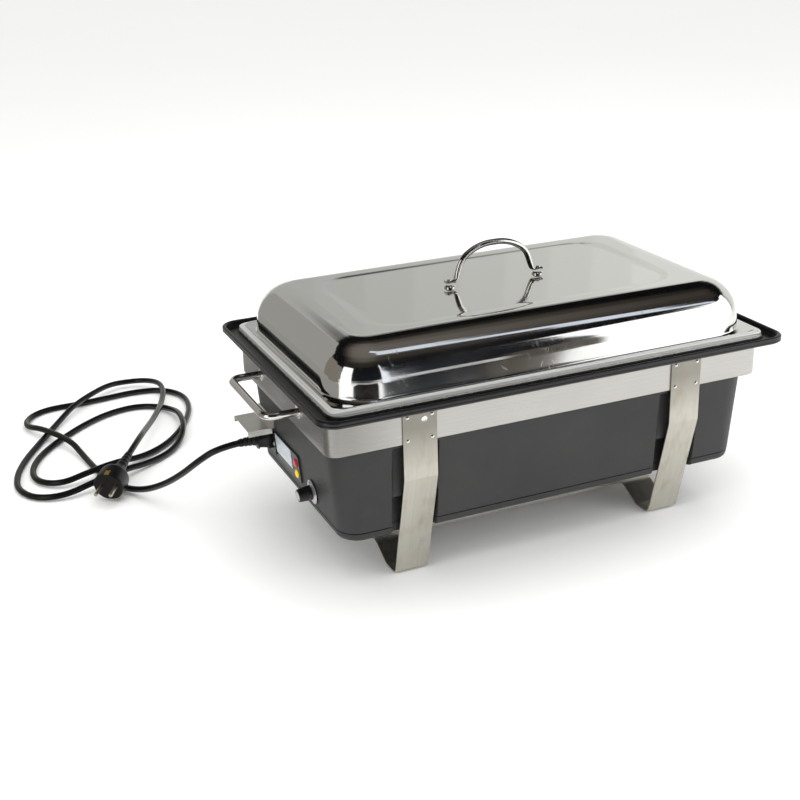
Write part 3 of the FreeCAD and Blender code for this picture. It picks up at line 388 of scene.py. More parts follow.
def brushedSteel(name, light, dark, grain, roughness=0.3, stain=None, paintedShade=None):
    # Stainless sheet with a belt-ground grain: fine lines one way, soft highlights across them.
    # The real lines are under 0.1 mm apart and are drawn about 0.4 mm apart so that they show.
    finish, tree, shader, place = startFinish(name, light, 1.0, roughness)
    lines = noise(tree, stretched(tree, place, grain), 1.0, 5.0, 0.6)
    cloud = noise(tree, place, 18.0, 3.0)
    tone = blended(tree, between(tree, lines, 0.0, 1.0, 0.25, 0.75), dark, light)
    if stain:
        spots = between(tree, noise(tree, stretched(tree, place, (60, 60, 22)), 1.0, 5.0, 0.6),
                        0.0, 0.75, 0.5, 0.72)
        tone = blended(tree, spots, tone, stain)
    if paintedShade:
        # Painted shade, darker towards one end of the sheet where less light falls: axis, where it starts
        # and ends, colour.
        axis, start, end, shadeColour = paintedShade
        parts = addNode(tree, "ShaderNodeSeparateXYZ", {}, {0: place})
        tone = blended(tree, between(tree, parts.outputs[axis], 0.0, 0.85, start, end), tone, shadeColour)
    tree.links.new(tone, shader.inputs["Base Color"])
    mixed = addNode(tree, "ShaderNodeMath", {"operation": "MULTIPLY_ADD", 1: 0.5},
                    {0: cloud, 2: lines}).outputs[0]
    tree.links.new(between(tree, mixed, roughness - 0.07, roughness + 0.12, 0.5, 1.0),
                   shader.inputs["Roughness"])
    bumped(tree, shader, lines, 0.15, 0.00004)
    return finish


def mouldedPlastic(name, colour, pale, roughness, grainMm, depth, ior=1.49):
    # Injection moulded thermoplastic: an even spark-eroded grain and a slightly cloudy colour.
    finish, tree, shader, place = startFinish(name, colour, 0.0, roughness, IOR=ior)
    grain = noise(tree, place, 1.0 / (grainMm * metre), 2.0, 0.55)
    cloud = noise(tree, place, 11.0, 4.0, 0.6)
    rub = noise(tree, stretched(tree, place, (18, 18, 120), (0.2, 0.35, 0)), 1.0, 3.0)
    tone = blended(tree, between(tree, cloud, 0.0, 0.8), colour, pale)
    tone = blended(tree, between(tree, rub, 0.0, 0.45, 0.6, 0.8), tone, pale)
    tree.links.new(tone, shader.inputs["Base Color"])
    tree.links.new(between(tree, grain, roughness - 0.06, roughness + 0.08),
                   shader.inputs["Roughness"])
    bumped(tree, shader, grain, 0.5, depth)
    return finish


def castResin(name, colour, shade, roughness, scale=90.0, metallic=0.0, depth=0.0001):
    # Small plain parts: a faint cloud in the colour and a little relief.
    finish, tree, shader, place = startFinish(name, colour, metallic, roughness)
    cloud = noise(tree, place, scale, 4.0)
    tree.links.new(blended(tree, between(tree, cloud, 0.0, 1.0), colour, shade),
                   shader.inputs["Base Color"])
    tree.links.new(between(tree, cloud, roughness - 0.05, roughness + 0.1),
                   shader.inputs["Roughness"])
    bumped(tree, shader, noise(tree, place, scale * 9, 2.0), 0.3, depth)
    return finish


def tintedLens(name, colour, deep):
    # Clear dyed acrylic over a small lamp: glossy, bright in the middle and deeper at the rim.
    finish, tree, shader, place = startFinish(name, colour, 0.0, 0.12, IOR=1.49)
    facing = addNode(tree, "ShaderNodeLayerWeight", {"Blend": 0.35}).outputs["Facing"]
    flutes = noise(tree, place, 900.0, 1.0)
    tone = blended(tree, facing, colour, deep)
    tree.links.new(tone, shader.inputs["Base Color"])
    bumped(tree, shader, flutes, 0.2, 0.0001)
    shader.inputs["Emission Color"].default_value = hexColour(colour)
    shader.inputs["Emission Strength"].default_value = 0.25
    return finish


def wovenSleeve(name, colour, shade):
    # Glass-fibre sleeve on a wire: a fine diagonal braid about 1 mm across.
    finish, tree, shader, place = startFinish(name, colour, 0.0, 0.8)
    weave = addNode(tree, "ShaderNodeTexWave", {"Scale": 160.0, "Distortion": 2.0,
                                                "bands_direction": "DIAGONAL"}, {"Vector": place})
    tree.links.new(blended(tree, weave.outputs["Fac"], colour, shade), shader.inputs["Base Color"])
    bumped(tree, shader, weave.outputs["Fac"], 0.5, 0.0002)
    return finish


def blankLabel(name, foil, ink):
    # Satin foil label left blank: faint grey rules stand where a rating plate has its table.
    finish, tree, shader, place = startFinish(name, foil, 0.35, 0.38)
    rules = addNode(tree, "ShaderNodeTexWave", {"Scale": 75.0, "bands_direction": "Z"},
                    {"Vector": place}).outputs["Fac"]
    broken = noise(tree, stretched(tree, place, (300, 120, 300)), 1.0, 2.0)
    inked = addNode(tree, "ShaderNodeMath", {"operation": "MULTIPLY"},
                    {0: between(tree, rules, 0.0, 1.0, 0.62, 0.8),
                     1: between(tree, broken, 0.0, 0.7, 0.4, 0.55)}).outputs[0]
    tree.links.new(blended(tree, inked, foil, ink), shader.inputs["Base Color"])
    bumped(tree, shader, noise(tree, place, 400.0), 0.1, 0.00005)
    return finish


# the lid's rolled edge is made paler by a lowered metal share: painted brightness
lidSteel = mirrorSteel("buffed_stainless_lid", "#d9d9d6", 0.07, 0.8, satinAndPaintedPaleBelow=0.2236)
barSteel = mirrorSteel("polished_stainless_bar", "#d8d6d1", 0.1, 0.5)
hoodSteel = brushedSteel("satin_stainless_hood", "#e2e0da", "#d2d0ca", (40, 900, 900), 0.34)
# the band's darker left end is painted shade, for light that falls from the right
bandSteel = brushedSteel("belt_ground_stainless", "#c1bfbb", "#acaaa5", (6, 6, 2200), 0.3,
                         paintedShade=("X", -0.17, -0.24, "#8b8985"))
# the straps' darker tops are painted shade
strapSteel = brushedSteel("belt_ground_strap", "#c8c5bb", "#b2aea3", (2200, 6, 6), 0.34,
                          stain="#a89f8e", paintedShade=("Z", 0.14, 0.185, "#87847c"))
traySteel = brushedSteel("ground_tray_sheet", "#d2d0ca", "#a5a39c", (8, 1200, 1200), 0.33)
drawnSteel = brushedSteel("deep_drawn_stainless", "#cfcecb", "#b5b4b0", (90, 90, 160), 0.22)
rimPlastic = mouldedPlastic("satin_phenolic_rim", "#0b0b0b", "#161616", 0.3, 0.5, 0.00003, 1.5)
housingPlastic = mouldedPlastic("black_polypropylene", "#232323", "#2e2e2d", 0.52, 0.7, 0.0001)
basePlastic = mouldedPlastic("black_polypropylene_base", "#212121", "#2b2b2a", 0.52, 0.7, 0.0001)
faciaPlastic = mouldedPlastic("polycarbonate_facia", "#1a1a1a", "#232323", 0.4, 0.4, 0.00003, 1.58)
padRubber = mouldedPlastic("nitrile_pad", "#141414", "#202020", 0.75, 0.8, 0.0001, 1.52)
cordPvc = mouldedPlastic("black_pvc_sheath", "#060606", "#0d0d0e", 0.24, 0.35, 0.00003, 1.43)
plugPvc = mouldedPlastic("moulded_pvc_plug", "#070707", "#101011", 0.32, 0.4, 0.00004, 1.45)
inletPlastic = mouldedPlastic("black_nylon_inlet", "#090909", "#121212", 0.38, 0.4, 0.00003, 1.53)
knobPlastic = mouldedPlastic("black_abs_knob", "#070707", "#0e0e0e", 0.3, 0.4, 0.00003, 1.54)
spunMetal = brushedSteel("spun_aluminium", "#d4d6d8", "#b3b5b8", (300, 300, 300), 0.3)
pinMetal = mirrorSteel("nickelled_brass_pin", "#f0e8d2", 0.3, 0.4)
clipMetal = mirrorSteel("spring_brass_clip", "#e8bd62", 0.36, 0.5)
rivetMetal = mirrorSteel("stainless_rivet", "#dddbd6", 0.16, 0.3)
redLens = tintedLens("red_acrylic_lens", "#c01524", "#5c0510")
amberLens = tintedLens("yellow_acrylic_lens", "#f2cf10", "#9a7407")
labelFoil = blankLabel("blank_rating_foil", "#ccd3d8", "#7f878d")
resinCase = castResin("pale_phenolic_resin", "#cdbf9b", "#b3a580", 0.55)
blockNylon = castResin("natural_nylon", "#dedacb", "#c8c3b2", 0.5)
sheathSteel = castResin("heat_blued_sheath", "#4c4540", "#6d5a48", 0.42, 40.0, 1.0)
clampSteel = castResin("zinc_plated_clamp", "#b9bbb8", "#9a9c96", 0.35, 60.0, 1.0)
sheetAluminium = castResin("rolled_aluminium", "#c9cbcc", "#b2b4b6", 0.38, 30.0, 1.0)
bulbCopper = castResin("drawn_copper", "#b8714a", "#8c4f31", 0.33, 60.0, 1.0)
glassSleeve = wovenSleeve("glass_fibre_sleeve", "#d8d2bf", "#b0a88f")
screwZinc = castResin("zinc_plated_screw", "#c2c4c0", "#94968f", 0.32, 120.0, 1.0)
shaftSteel = castResin("turned_steel", "#b7b7b5", "#8f8f8d", 0.3, 200.0, 1.0)
print("finishes made")

# kept CAD nodes and their finishes
keptFinishes = {
    "tie_tray": traySteel, "tray_screws": screwZinc, "base_screws": screwZinc,
    "base_pads": padRubber, "panel_facia": faciaPlastic, "rating_plate": labelFoil,
    "mains_inlet": inletPlastic, "inlet_screws": screwZinc, "hood_rivets": rivetMetal,
    "side_handle_nuts": screwZinc, "thermostat_body": resinCase, "thermostat_shaft": shaftSteel,
    "terminal_block": blockNylon, "heating_element": sheathSteel, "element_clamps": clampSteel,
    "heat_spreader": sheetAluminium, "sensor_bulb": bulbCopper, "thermal_cutout": sheetAluminium,
    "element_wires": glassSleeve, "supply_wires": glassSleeve, "plug_earth_clips": clipMetal,
    "side_handle_washers": rivetMetal, "inlet_hood": hoodSteel,
}


def paintKept():
    for name, finish in keptFinishes.items():
        materials = nodes[name].data.materials
        materials.clear()
        materials.append(finish)


paintKept()


# the route of the lead in millimetres, from the connector over the table to the plug
cordRoute = [
    (-292, 90, 99), (-318, 93, 96), (-339, 106, 79), (-354, 134, 53), (-371, 168, 28),
    (-390, 200, 11), (-408, 233, 4), (-422, 272, 4), (-430, 316, 4), (-436, 356, 6),
    (-444, 396, 13), (-472, 456, 13), (-488, 486, 7), (-487, 513, 5), (-472, 537, 4),
    (-446, 549, 4), (-408, 548, 4), (-366, 552, 4), (-322, 558, 4), (-281, 549, 4),
    (-257, 514, 4), (-259, 466, 4), (-276, 418, 4), (-300, 374, 4), (-330, 338, 4),
    (-366, 314, 5), (-404, 297, 13), (-446, 279, 13), (-476, 276, 7), (-500, 293, 5),
    (-508, 322, 4), (-500, 360, 4), (-478, 398, 4), (-446, 434, 4), (-412, 466, 4),
    (-372, 492, 4), (-330, 500, 4), (-299, 482, 4), (-286, 450, 8), (-285, 420, 13),
    (-290, 378, 13), (-306, 340, 6), (-332, 310, 4), (-366, 288, 6), (-400, 268, 13),
    (-440, 249, 13), (-480, 240, 6), (-515, 253, 4), (-532, 289, 4), (-526, 334, 4),
    (-508, 380, 4), (-480, 430, 4), (-448, 482, 6), (-416, 524, 13), (-374, 566, 13),
    (-348, 588, 11), (-320, 593, 9), (-295, 580, 11), (-281, 555, 13), (-284, 518, 13),
    (-299, 472, 13), (-313, 434, 18), (-332, 390, 22), (-352, 342, 31), (-369, 300, 39),
    (-391, 267, 33),
]
leadSizes = dict(diameter=8.0, length=2.679, sides=6)
plugSizes = dict(relief=36.0, body=38.0, radius=19.3, ribs=5, flat=17.7, pin=2.4, pinLength=19.0,
                 pitch=19.0, pinInside=6.0)


def makeLead(sizes):
    # A NURBS curve whose control points are the route, with a round section.
    curve = bpy.data.curves.new("power_lead", "CURVE")
    curve.dimensions = "3D"
    curve.bevel_depth = sizes["diameter"] / 2 * metre
    curve.bevel_resolution = sizes["sides"]
    curve.resolution_u = 10
    curve.use_fill_caps = True
    spline = curve.splines.new("NURBS")
    spline.points.add(len(cordRoute) - 1)
    flat = [value for x, y, z in cordRoute for value in (x * metre, y * metre, z * metre, 1.0)]
    spline.points.foreach_set("co", flat)
    spline.order_u = 3
    spline.use_endpoint_u = True
    curve.materials.append(cordPvc)
    piece = bpy.data.objects.new("power_lead", curve)
    bpy.context.scene.collection.objects.link(piece)
    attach(piece, "server")
    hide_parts("power_cord")
    return piece


def plugAxes():
    # Where the lead ends, the way it points there, and the level and upright directions.
    end, before = Vector(cordRoute[-1]), Vector(cordRoute[-2])
    along = (end - before).normalized()
    level = along.cross(Vector((0, 0, 1))).normalized()
    return np.array(end), np.array(along), np.array(level), np.array(level.cross(along))


def squircle(halfWide, halfTall, power, count=48):
    # A rounded box section: each side of a circle raised towards a square.
    turn = np.linspace(0, 2 * math.pi, count, endpoint=False)
    c, s = np.cos(turn), np.sin(turn)
    return (halfWide * np.sign(c) * np.abs(c) ** (2 / power),
            halfTall * np.sign(s) * np.abs(s) ** (2 / power))


def loft(origin, along, wide, tall, stations, count=48):
    # Sections along a straight axis: each station is distance, half width, half height, power.
    stations = np.asarray(stations, float)
    rows = []
    for distance, halfWide, halfTall, power in stations:
        w, t = squircle(halfWide, halfTall, power, count)
        rows.append(origin + along * distance + w[:, None] * wide + t[:, None] * tall)
    return np.array(rows)


def ribbedRelief(length, thick, thin, ribs, groove=0.9):
    # Stations of a tapered sleeve with rings cut round it.
    share = np.linspace(0, 1, 12 * ribs + 1)
    radius = thin + (thick - thin) * share
    cut = groove * (0.5 + 0.5 * np.cos(share * ribs * 2 * math.pi)) ** 3
    radius = radius - cut * np.clip(share * 6, 0, 1) * np.clip((1 - share) * 8, 0, 1)
    return np.stack([share * length, radius, radius, np.full_like(share, 2.0)], axis=1)


def makePlug(sizes):
    # Two-pin earthed plug: ribbed relief, shouldered round body with two flats, pins.
    end, along, level, upright = plugAxes()
    relief = addGrid("plug_sleeve", loft(end, along, level, upright,
                                         ribbedRelief(sizes["relief"], 7.5, 4.9, sizes["ribs"])),
                     "server", plugPvc, caps=("first", "last"))
    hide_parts("plug_relief")
    r, start = sizes["radius"], sizes["relief"]
    front = start + sizes["body"]
    outline = roundedLine([(0, 7.0), (0, 9.5), (4, 12.0), (9, 12.6), (14, r), (36.5, r), (38, r - 1.2),
                           (38, 6.0)], [1.5, 2, 4, 6, 1.4, 1.4], 6)
    flat = np.interp(outline[:, 0], [0, 18, 21, 38], [r, r, sizes["flat"], sizes["flat"]])
    grid = loft(start * along + end, along, level, upright,
                np.stack([outline[:, 0], outline[:, 1], outline[:, 1], np.full(len(outline), 2.0)],
                         axis=1), 72)
    local = grid - (start * along + end)
    side = local @ upright
    limit = flat[:, None]
    grid = grid + (np.clip(side, -limit, limit) - side)[..., None] * upright
    body = addGrid("plug_shell", grid, "server", plugPvc, caps=("first", "last"))
    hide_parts("plug_body")
    pins = []
    for side in (-1, 1):
        base = end + along * (front - sizes["pinInside"]) + side * sizes["pitch"] / 2 * level
        length = sizes["pinLength"] + sizes["pinInside"]
        pins.append(addTurned("pin", [(0, 0), (sizes["pin"], 0), (sizes["pin"], length), (0, length)],
                              [0, 1.6], base, along, None, pinMetal, 32))
    prongs = joined("plug_prongs", pins, "server")
    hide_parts("plug_pins")
    return [relief, body, prongs]


connectorSizes = dict(body=17.0, wide=27.0, tall=21.0, nose=14.0, noseWide=22.0, noseTall=14.5,
                      relief=19.9, reliefThick=6.6)


def makeConnector(sizes):
    # Appliance connector: a waisted grip with a collar, a nose in the inlet, a ribbed relief.
    low, high = nodeBox("cord_connector")
    reliefLow, reliefHigh = nodeBox("connector_relief")
    face = low[0] + sizes["body"]
    middle = np.array([face, (low[1] + high[1]) / 2, (low[2] + high[2]) / 2])
    along, wide, tall = np.array([-1.0, 0, 0]), np.array([0, 1.0, 0]), np.array([0, 0, 1.0])
    w, t = sizes["wide"] / 2, sizes["tall"] / 2
    stations = [(-sizes["nose"], sizes["noseWide"] / 2, sizes["noseTall"] / 2, 8),
                (0.2, sizes["noseWide"] / 2, sizes["noseTall"] / 2, 8),
                (0.3, w - 0.6, t - 0.6, 5), (1.0, w, t, 5), (4.5, w, t, 5), (6, w - 1.6, t - 1.4, 4.5),
                (10, w - 2.4, t - 2.0, 4), (14.2, w - 2.8, t - 2.4, 3.6), (15.2, w - 1.2, t - 1.2, 3.6),
                (16.5, w - 1.4, t - 1.4, 3.4), (17, w - 2.4, t - 2.4, 3.2)]
    body = addGrid("lead_connector", loft(middle, along, wide, tall, stations, 56), "server", plugPvc,
                   caps=("first", "last"))
    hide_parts("cord_connector")
    sleeve = ribbedRelief(reliefHigh[0] - reliefLow[0], 4.8, sizes["reliefThick"], 4, 0.7)
    relief = addGrid("lead_relief", loft(np.array([reliefHigh[0], middle[1], middle[2]]), along, wide,
                                         tall, sleeve), "server", plugPvc, caps=("first", "last"))
    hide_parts("connector_relief")
    return [body, relief]


lead = makeLead(leadSizes)
leadPieces = makePlug(plugSizes) + makeConnector(connectorSizes) + [nodes["plug_earth_clips"]]
print("lead and plug made")


lidShape = dict(skirt=4.5, step=1.5, stepInset=5.0, stepSide=3.0, domeInset=9.0, domeSide=5.0,
                draft=6.0, topEdge=42.0, domeCorner=50.0, stepCorner=14.0, skirtCorner=10.0,
                sheet=0.8, panelInset=78.0, panelSide=62.0, panelDrop=1.2, panelRamp=14.0,
                panelCorner=38.0, crown=1.6)


def makeLid(shape):
    # Drawn lid: skirt, rolled step, drafted dome with a wide top edge, and a shallow pressed
    # panel in a slightly crowned top.
    half = (lidHigh - lidLow) / 2
    base = lidLow[2]
    shoulder = base + shape["skirt"]
    ledge = shoulder + shape["step"]
    top = lidHigh[2]
    lean = math.tan(math.radians(shape["draft"]))
    foot = shape["domeInset"] + (ledge - shoulder) * lean
    head = shape["domeInset"] + (top - shoulder) * lean
    wall = roundedLine([(0, base), (0, shoulder), (shape["stepInset"], shoulder),
                        (shape["stepInset"], ledge), (foot, ledge), (head, top),
                        (head + shape["topEdge"] + 1, top)],
                       [2.0, 0.6, 0.7, 2.6, shape["topEdge"]], 12)
    wall = spaced(wall, 2.2)
    rows = shellRows(half[0], half[1], wall,
                     [0, shape["stepInset"], shape["domeInset"], head + shape["topEdge"]],
                     [shape["skirtCorner"], shape["stepCorner"], shape["domeCorner"], 10.0],
                     sideIs=[0, shape["stepSide"], shape["domeSide"],
                             head + shape["topEdge"] - shape["domeInset"] + shape["domeSide"]],
                     sides=40, turns=18)
    rows = np.concatenate([rows, closingRows(rows[-1], 0.97, 0.02, 46, top)])
    rows[..., 2] += topRelief(rows, half, top, shape)
    lid = addGrid("lid_shell", rows, "lid", lidSteel, crease=50)
    thicken(lid, shape["sheet"], 50)
    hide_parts("lid")


def topRelief(rows, half, top, shape):
    # Height added to the top: a crown that dies at the edge, less the sunk panel's step. The
    # panel's edge is the signed distance to a rounded rectangle, eased over the ramp.
    x, y, z = rows[..., 0], rows[..., 1], rows[..., 2]
    onTop = np.clip((z - (top - 4)) / 4, 0, 1)
    rise = shape["crown"] * ((1 - (x / half[0]) ** 2) * (1 - (y / half[1]) ** 2) - 1)
    qx = np.abs(x) - (half[0] - shape["panelInset"] - shape["panelCorner"])
    qy = np.abs(y) - (half[1] - shape["panelSide"] - shape["panelCorner"])
    outside = np.hypot(np.maximum(qx, 0), np.maximum(qy, 0))
    distance = outside + np.minimum(np.maximum(qx, qy), 0) - shape["panelCorner"]
    t = np.clip(0.5 - distance / shape["panelRamp"], 0, 1)
    return onTop * rise - shape["panelDrop"] * t * t * (3 - 2 * t) + shape["panelDrop"] * onTop


makeLid(lidShape)

lidHandleShape = dict(span=99.0, foot=12.0, rod=7.0, shoulder=15.0, crownShare=0.42, bend=27.0,
                      footBend=4.5, flatten=0.45, splay=1.45, bossRadius=6.5)


def makeLidHandle(shape):
    # Bent bar whose two ends are pressed flat and riveted to short posts.
    low, high = nodeBox("lid_handle")
    radius, half = shape["rod"] / 2, shape["span"] / 2
    bottom, top = low[2] + radius, high[2] - radius
    arm = [(half + shape["foot"], 0, bottom), (half, 0, bottom),
           (half - 8, 0, top - shape["shoulder"]), (half * shape["crownShare"], 0, top)]
    corners = arm + [(-x, y, z) for x, y, z in reversed(arm)]
    bends = [shape["footBend"], shape["bend"], 2 * shape["bend"], 2 * shape["bend"], shape["bend"],
             shape["footBend"]]

    def pressed(path):
        near = np.clip((np.abs(path[:, 0]) - half + 4) / 7, 0, 1)
        near = near * near * (3 - 2 * near)
        return 1 + (shape["splay"] - 1) * near, 1 - (1 - shape["flatten"]) * near

    bar = addRod("lid_grip", corners, bends, (0, 1, 0), radius, "lid", barSteel, pressed)
    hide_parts("lid_handle")
    seatLow, seatHigh = nodeBox("lid_handle_bosses")
    tall = seatHigh[2] - seatLow[2]
    posts = []
    for side in (-1, 1):
        middle = (side * (half + 7), 0, seatLow[2])
        r = shape["bossRadius"]
        posts.append(addTurned("post", [(0, -0.4), (r, -0.4), (r, 1.2), (r - 2.2, tall), (0, tall)],
                               [0, 0.5, 1.0], middle, (0, 0, 1), None, barSteel, 48))
        head = (side * (half + 8), 0, bottom + radius * shape["flatten"] - 0.3)
        posts.append(addTurned("head", [(0, 0), (3.0, 0), (2.2, 1.5), (0, 1.7)], [0.4, 0.7],
                               head, (0, 0, 1), None, barSteel, 32))
    posts = joined("lid_grip_posts", posts, "lid")
    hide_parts("lid_handle_bosses")


makeLidHandle(lidHandleShape)
print("lid made")


panShape = dict(rimCorner=18.0, bowlLong=247.0, bowlWide=140.0, bowlCorner=38.0, draft=6.5,
                heel=12.0, lip=3.5, sheet=0.8, finish=drawnSteel)
basinShape = dict(rimCorner=48.5, bowlLong=249.0, bowlWide=142.0, bowlCorner=40.0, draft=6.5,
                  heel=8.0, lip=3.0, sheet=0.8, finish=drawnSteel)


def makeBowl(name, node, low, high, body, shape):
    # Deep-drawn bowl below a flat rim: rim, lip radius, drafted wall, heel and floor. The wall
    # stands further in on the long sides than on the ends, by the difference of the two insets.
    half = (high - low) / 2
    under = high[2] - shape["sheet"]
    atEnd, atSide = half[0] - shape["bowlLong"], half[1] - shape["bowlWide"]
    lean = (under - low[2]) * math.tan(math.radians(shape["draft"]))
    foot = atEnd + lean
    line = roundedLine([(0, under), (atEnd, under), (foot, low[2]), (foot + 30, low[2])],
                       [shape["lip"], shape["heel"]], 10)
    line = spaced(line, 6.0)
    corner = [shape["rimCorner"], shape["bowlCorner"], shape["bowlCorner"] - lean,
              shape["bowlCorner"] - lean - shape["heel"]]
    rows = shellRows(half[0], half[1], line, [0, atEnd, foot, foot + shape["heel"]], corner,
                     sideIs=[0, atSide, atSide + lean, atSide + lean + shape["heel"]],
                     sides=20, turns=14)
    floor = closingRows(rows[-1], 0.94, 0.03, 14, low[2])
    bowl = addGrid(name, np.concatenate([rows, floor]), body, shape["finish"])
    thicken(bowl, shape["sheet"])
    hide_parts(node)


makeBowl("pan_shell", "food_pan", panLow, panHigh, "pan", panShape)
makeBowl("basin_shell", "water_basin", basinLow, basinHigh, "server", basinShape)


rimShape = dict(corner=20.0, plate=2.0, lip=4.0, ledge=4.8, ledgeAt=15.5, seatEnd=22.0,
                seatSide=26.5, openEnd=31.3, openSide=35.8, innerCorner=41.2)


def makeRim(shape):
    # Moulded collar: a rounded bumper lip, a drip trough, the ledge under the pan's rim and the
    # seat of the basin, as one closed section carried round the plan.
    base, top = rimLow[2], rimHigh[2]
    trough, ledge = base + shape["plate"], base + shape["ledge"]
    corners = [(18, base), (2.4, base), (0, base + 1.8), (0, base + 3.4), (0.7, base + 4.0),
               (0, base + 4.6), (0, top), (shape["lip"], top), (shape["lip"], trough),
               (shape["ledgeAt"], trough), (shape["ledgeAt"], ledge), (shape["seatEnd"], ledge),
               (shape["seatEnd"], trough), (shape["openEnd"], trough), (shape["openEnd"], base),
               (18, base)]
    radii = [1.2, 1.0, 0.5, 0.4, 0.5, 1.9, 1.7, 1.0, 0.8, 0.5, 0.5, 0.4, 0.5, 0.6]
    line = roundedLine(corners, radii, 5)[:-1]
    rows = shellRows((rimHigh - rimLow)[0] / 2, (rimHigh - rimLow)[1] / 2, line,
                     [0, shape["ledgeAt"], shape["seatEnd"], shape["openEnd"]],
                     [shape["corner"], 18.0, 30.0, shape["innerCorner"]],
                     sideIs=[0, shape["ledgeAt"], shape["seatSide"], shape["openSide"]],
                     sides=30, turns=16)
    rim = addGrid("rim_ring", rows, "server", rimPlastic, ring=True, crease=40)
    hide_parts("rim_collar")


makeRim(rimShape)
print("pan, basin and rim made")


bandShape = dict(corner=14.0, sheet=1.2, edge=0.4)


def makeBand(shape):
    # Sheet band bent round the four corners, with a slight roll at both edges.
    base, top, edge = bandLow[2], bandHigh[2], shape["edge"]
    line = spaced(roundedLine([(edge, base), (0, base + edge), (0, top - edge), (edge, top)],
                              [0.3, 0.3], 4), 8.0)
    rows = shellRows((bandHigh - bandLow)[0] / 2, (bandHigh - bandLow)[1] / 2, line, [0, 1],
                     [shape["corner"], shape["corner"]], sides=30, turns=16)
    band = addGrid("band_sheet", rows, "server", bandSteel)
    thicken(band, shape["sheet"])
    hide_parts("frame_band")


strapShape = dict(sheet=2.0, width=39.0, bend=128.0, foot=117.0, flat=26.0, floor=14.0,
                  plateau=64.0, knee=8.0, fold=9.0, ease=12.0, edge=0.45)


def strapSection(wide, thick, edge, steps=4):
    # Rectangle with small round edges, as values across the sheet and along its width.
    quarter = np.linspace(0, math.pi / 2, steps)
    x, y = [], []
    for k, (sx, sy) in enumerate([(1, 1), (-1, 1), (-1, -1), (1, -1)]):
        x.append(sx * (thick / 2 - edge) + edge * np.cos(quarter + k * math.pi / 2))
        y.append(sy * (wide / 2 - edge) + edge * np.sin(quarter + k * math.pi / 2))
    return np.concatenate(x)[None], np.concatenate(y)[None]


def makeStrap(name, node, shape):
    # One strip: down the side, in at the knee, flat on the table, up to the tray and across.
    low, high = nodeBox(node)
    half = shape["sheet"] / 2
    outer = high[1] - half
    side = [(-outer, high[2]), (-outer, shape["bend"]), (-shape["foot"], half),
            (-shape["foot"] + shape["flat"], half), (-shape["plateau"], shape["floor"] + half)]
    corners = [(0, y, z) for y, z in side + [(-y, z) for y, z in reversed(side)]]
    bends = [shape["knee"], shape["fold"]] + [shape["ease"]] * 4 + [shape["fold"], shape["knee"]]
    path = spaced(roundedLine(corners, bends, 12), 6.0)
    across, up = strapSection(shape["width"], shape["sheet"], shape["edge"])
    count = len(path)
    grid = planarSweep(path, (1, 0, 0), np.repeat(across, count, 0), np.repeat(up, count, 0))
    grid[..., 0] += (low[0] + high[0]) / 2
    grid[..., 2] -= grid[..., 2].min()
    strap = addGrid(name, grid, "server", strapSteel, caps=("first", "last"), crease=25)
    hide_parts(node)


rivetShape = dict(radius=2.1, head=1.2, inset=5.5, drop=14.0, pitch=26.0, weldX=-212.0, weldDrop=8.0)


def makeRivets(shape):
    # Low domed heads, four on each side of each strap, with one spot weld on the band and a
    # round press mark between the upper rivets of the left strap.
    heads = []
    reach = bandHigh[1] + strapShape["sheet"]
    profile = [(0, -0.2), (shape["radius"], -0.2), (shape["radius"], 0.35),
               (shape["radius"] * 0.5, shape["head"]), (0, shape["head"])]
    for name in ("leg_strap_left", "leg_strap_right"):
        low, high = nodeBox(name)
        for face in (-1, 1):
            for x in (low[0] + shape["inset"], high[0] - shape["inset"]):
                for level in (0, 1):
                    z = bandHigh[2] - shape["drop"] - level * shape["pitch"]
                    heads.append(addTurned("head", profile, [0.2, 0.4, 0.9], (x, face * reach, z),
                                           (0, face, 0), None, rivetMetal, 20, 4))
    low, high = nodeBox("leg_strap_left")
    mark = ((low[0] + high[0]) / 2 + 5, -reach, bandHigh[2] - shape["drop"] - 4)
    heads.append(addTurned("mark", [(0, -0.1), (3.6, -0.1), (3.2, 0.35), (2.0, 0.05), (0, 0.2)],
                           [0.1, 0.3, 0.3], mark, (0, -1, 0), None, rivetMetal, 28, 4))
    weld = (shape["weldX"], -bandHigh[1], bandHigh[2] - shape["weldDrop"])
    heads.append(addTurned("weld", [(0, -0.1), (1.3, -0.1), (0.9, 0.4), (0, 0.45)], [0.2, 0.2], weld,
                           (0, -1, 0), None, rivetMetal, 16, 4))
    piece = joined("strap_rivets", heads, "server")
    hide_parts("leg_rivets")


makeBand(bandShape)
makeStrap("strap_left", "leg_strap_left", strapShape)
makeStrap("strap_right", "leg_strap_right", strapShape)
makeRivets(rivetShape)
print("band and straps made")


housingShape = dict(low=61.0, long=249.0, wide=138.0, corner=24.0, draft=4.6, seam=71.0, gap=0.6,
                    shelf=168.0, shelfLong=264.3, shelfWide=147.3, collar=181.0, skin=2.1, edge=7.0,
                    strapAt=164.5, recessWide=29.5, recessNear=22.5, recessDeep=128.5, recessShallow=140.5,
                    recessStep=107.0, recessTop=165.0, soft=1.2)


def endWall(z):
    # Where the drafted -X wall of the housing stands at a height.
    shape = housingShape
    return -(shape["long"] + (z - shape["low"]) * math.tan(math.radians(shape["draft"])))


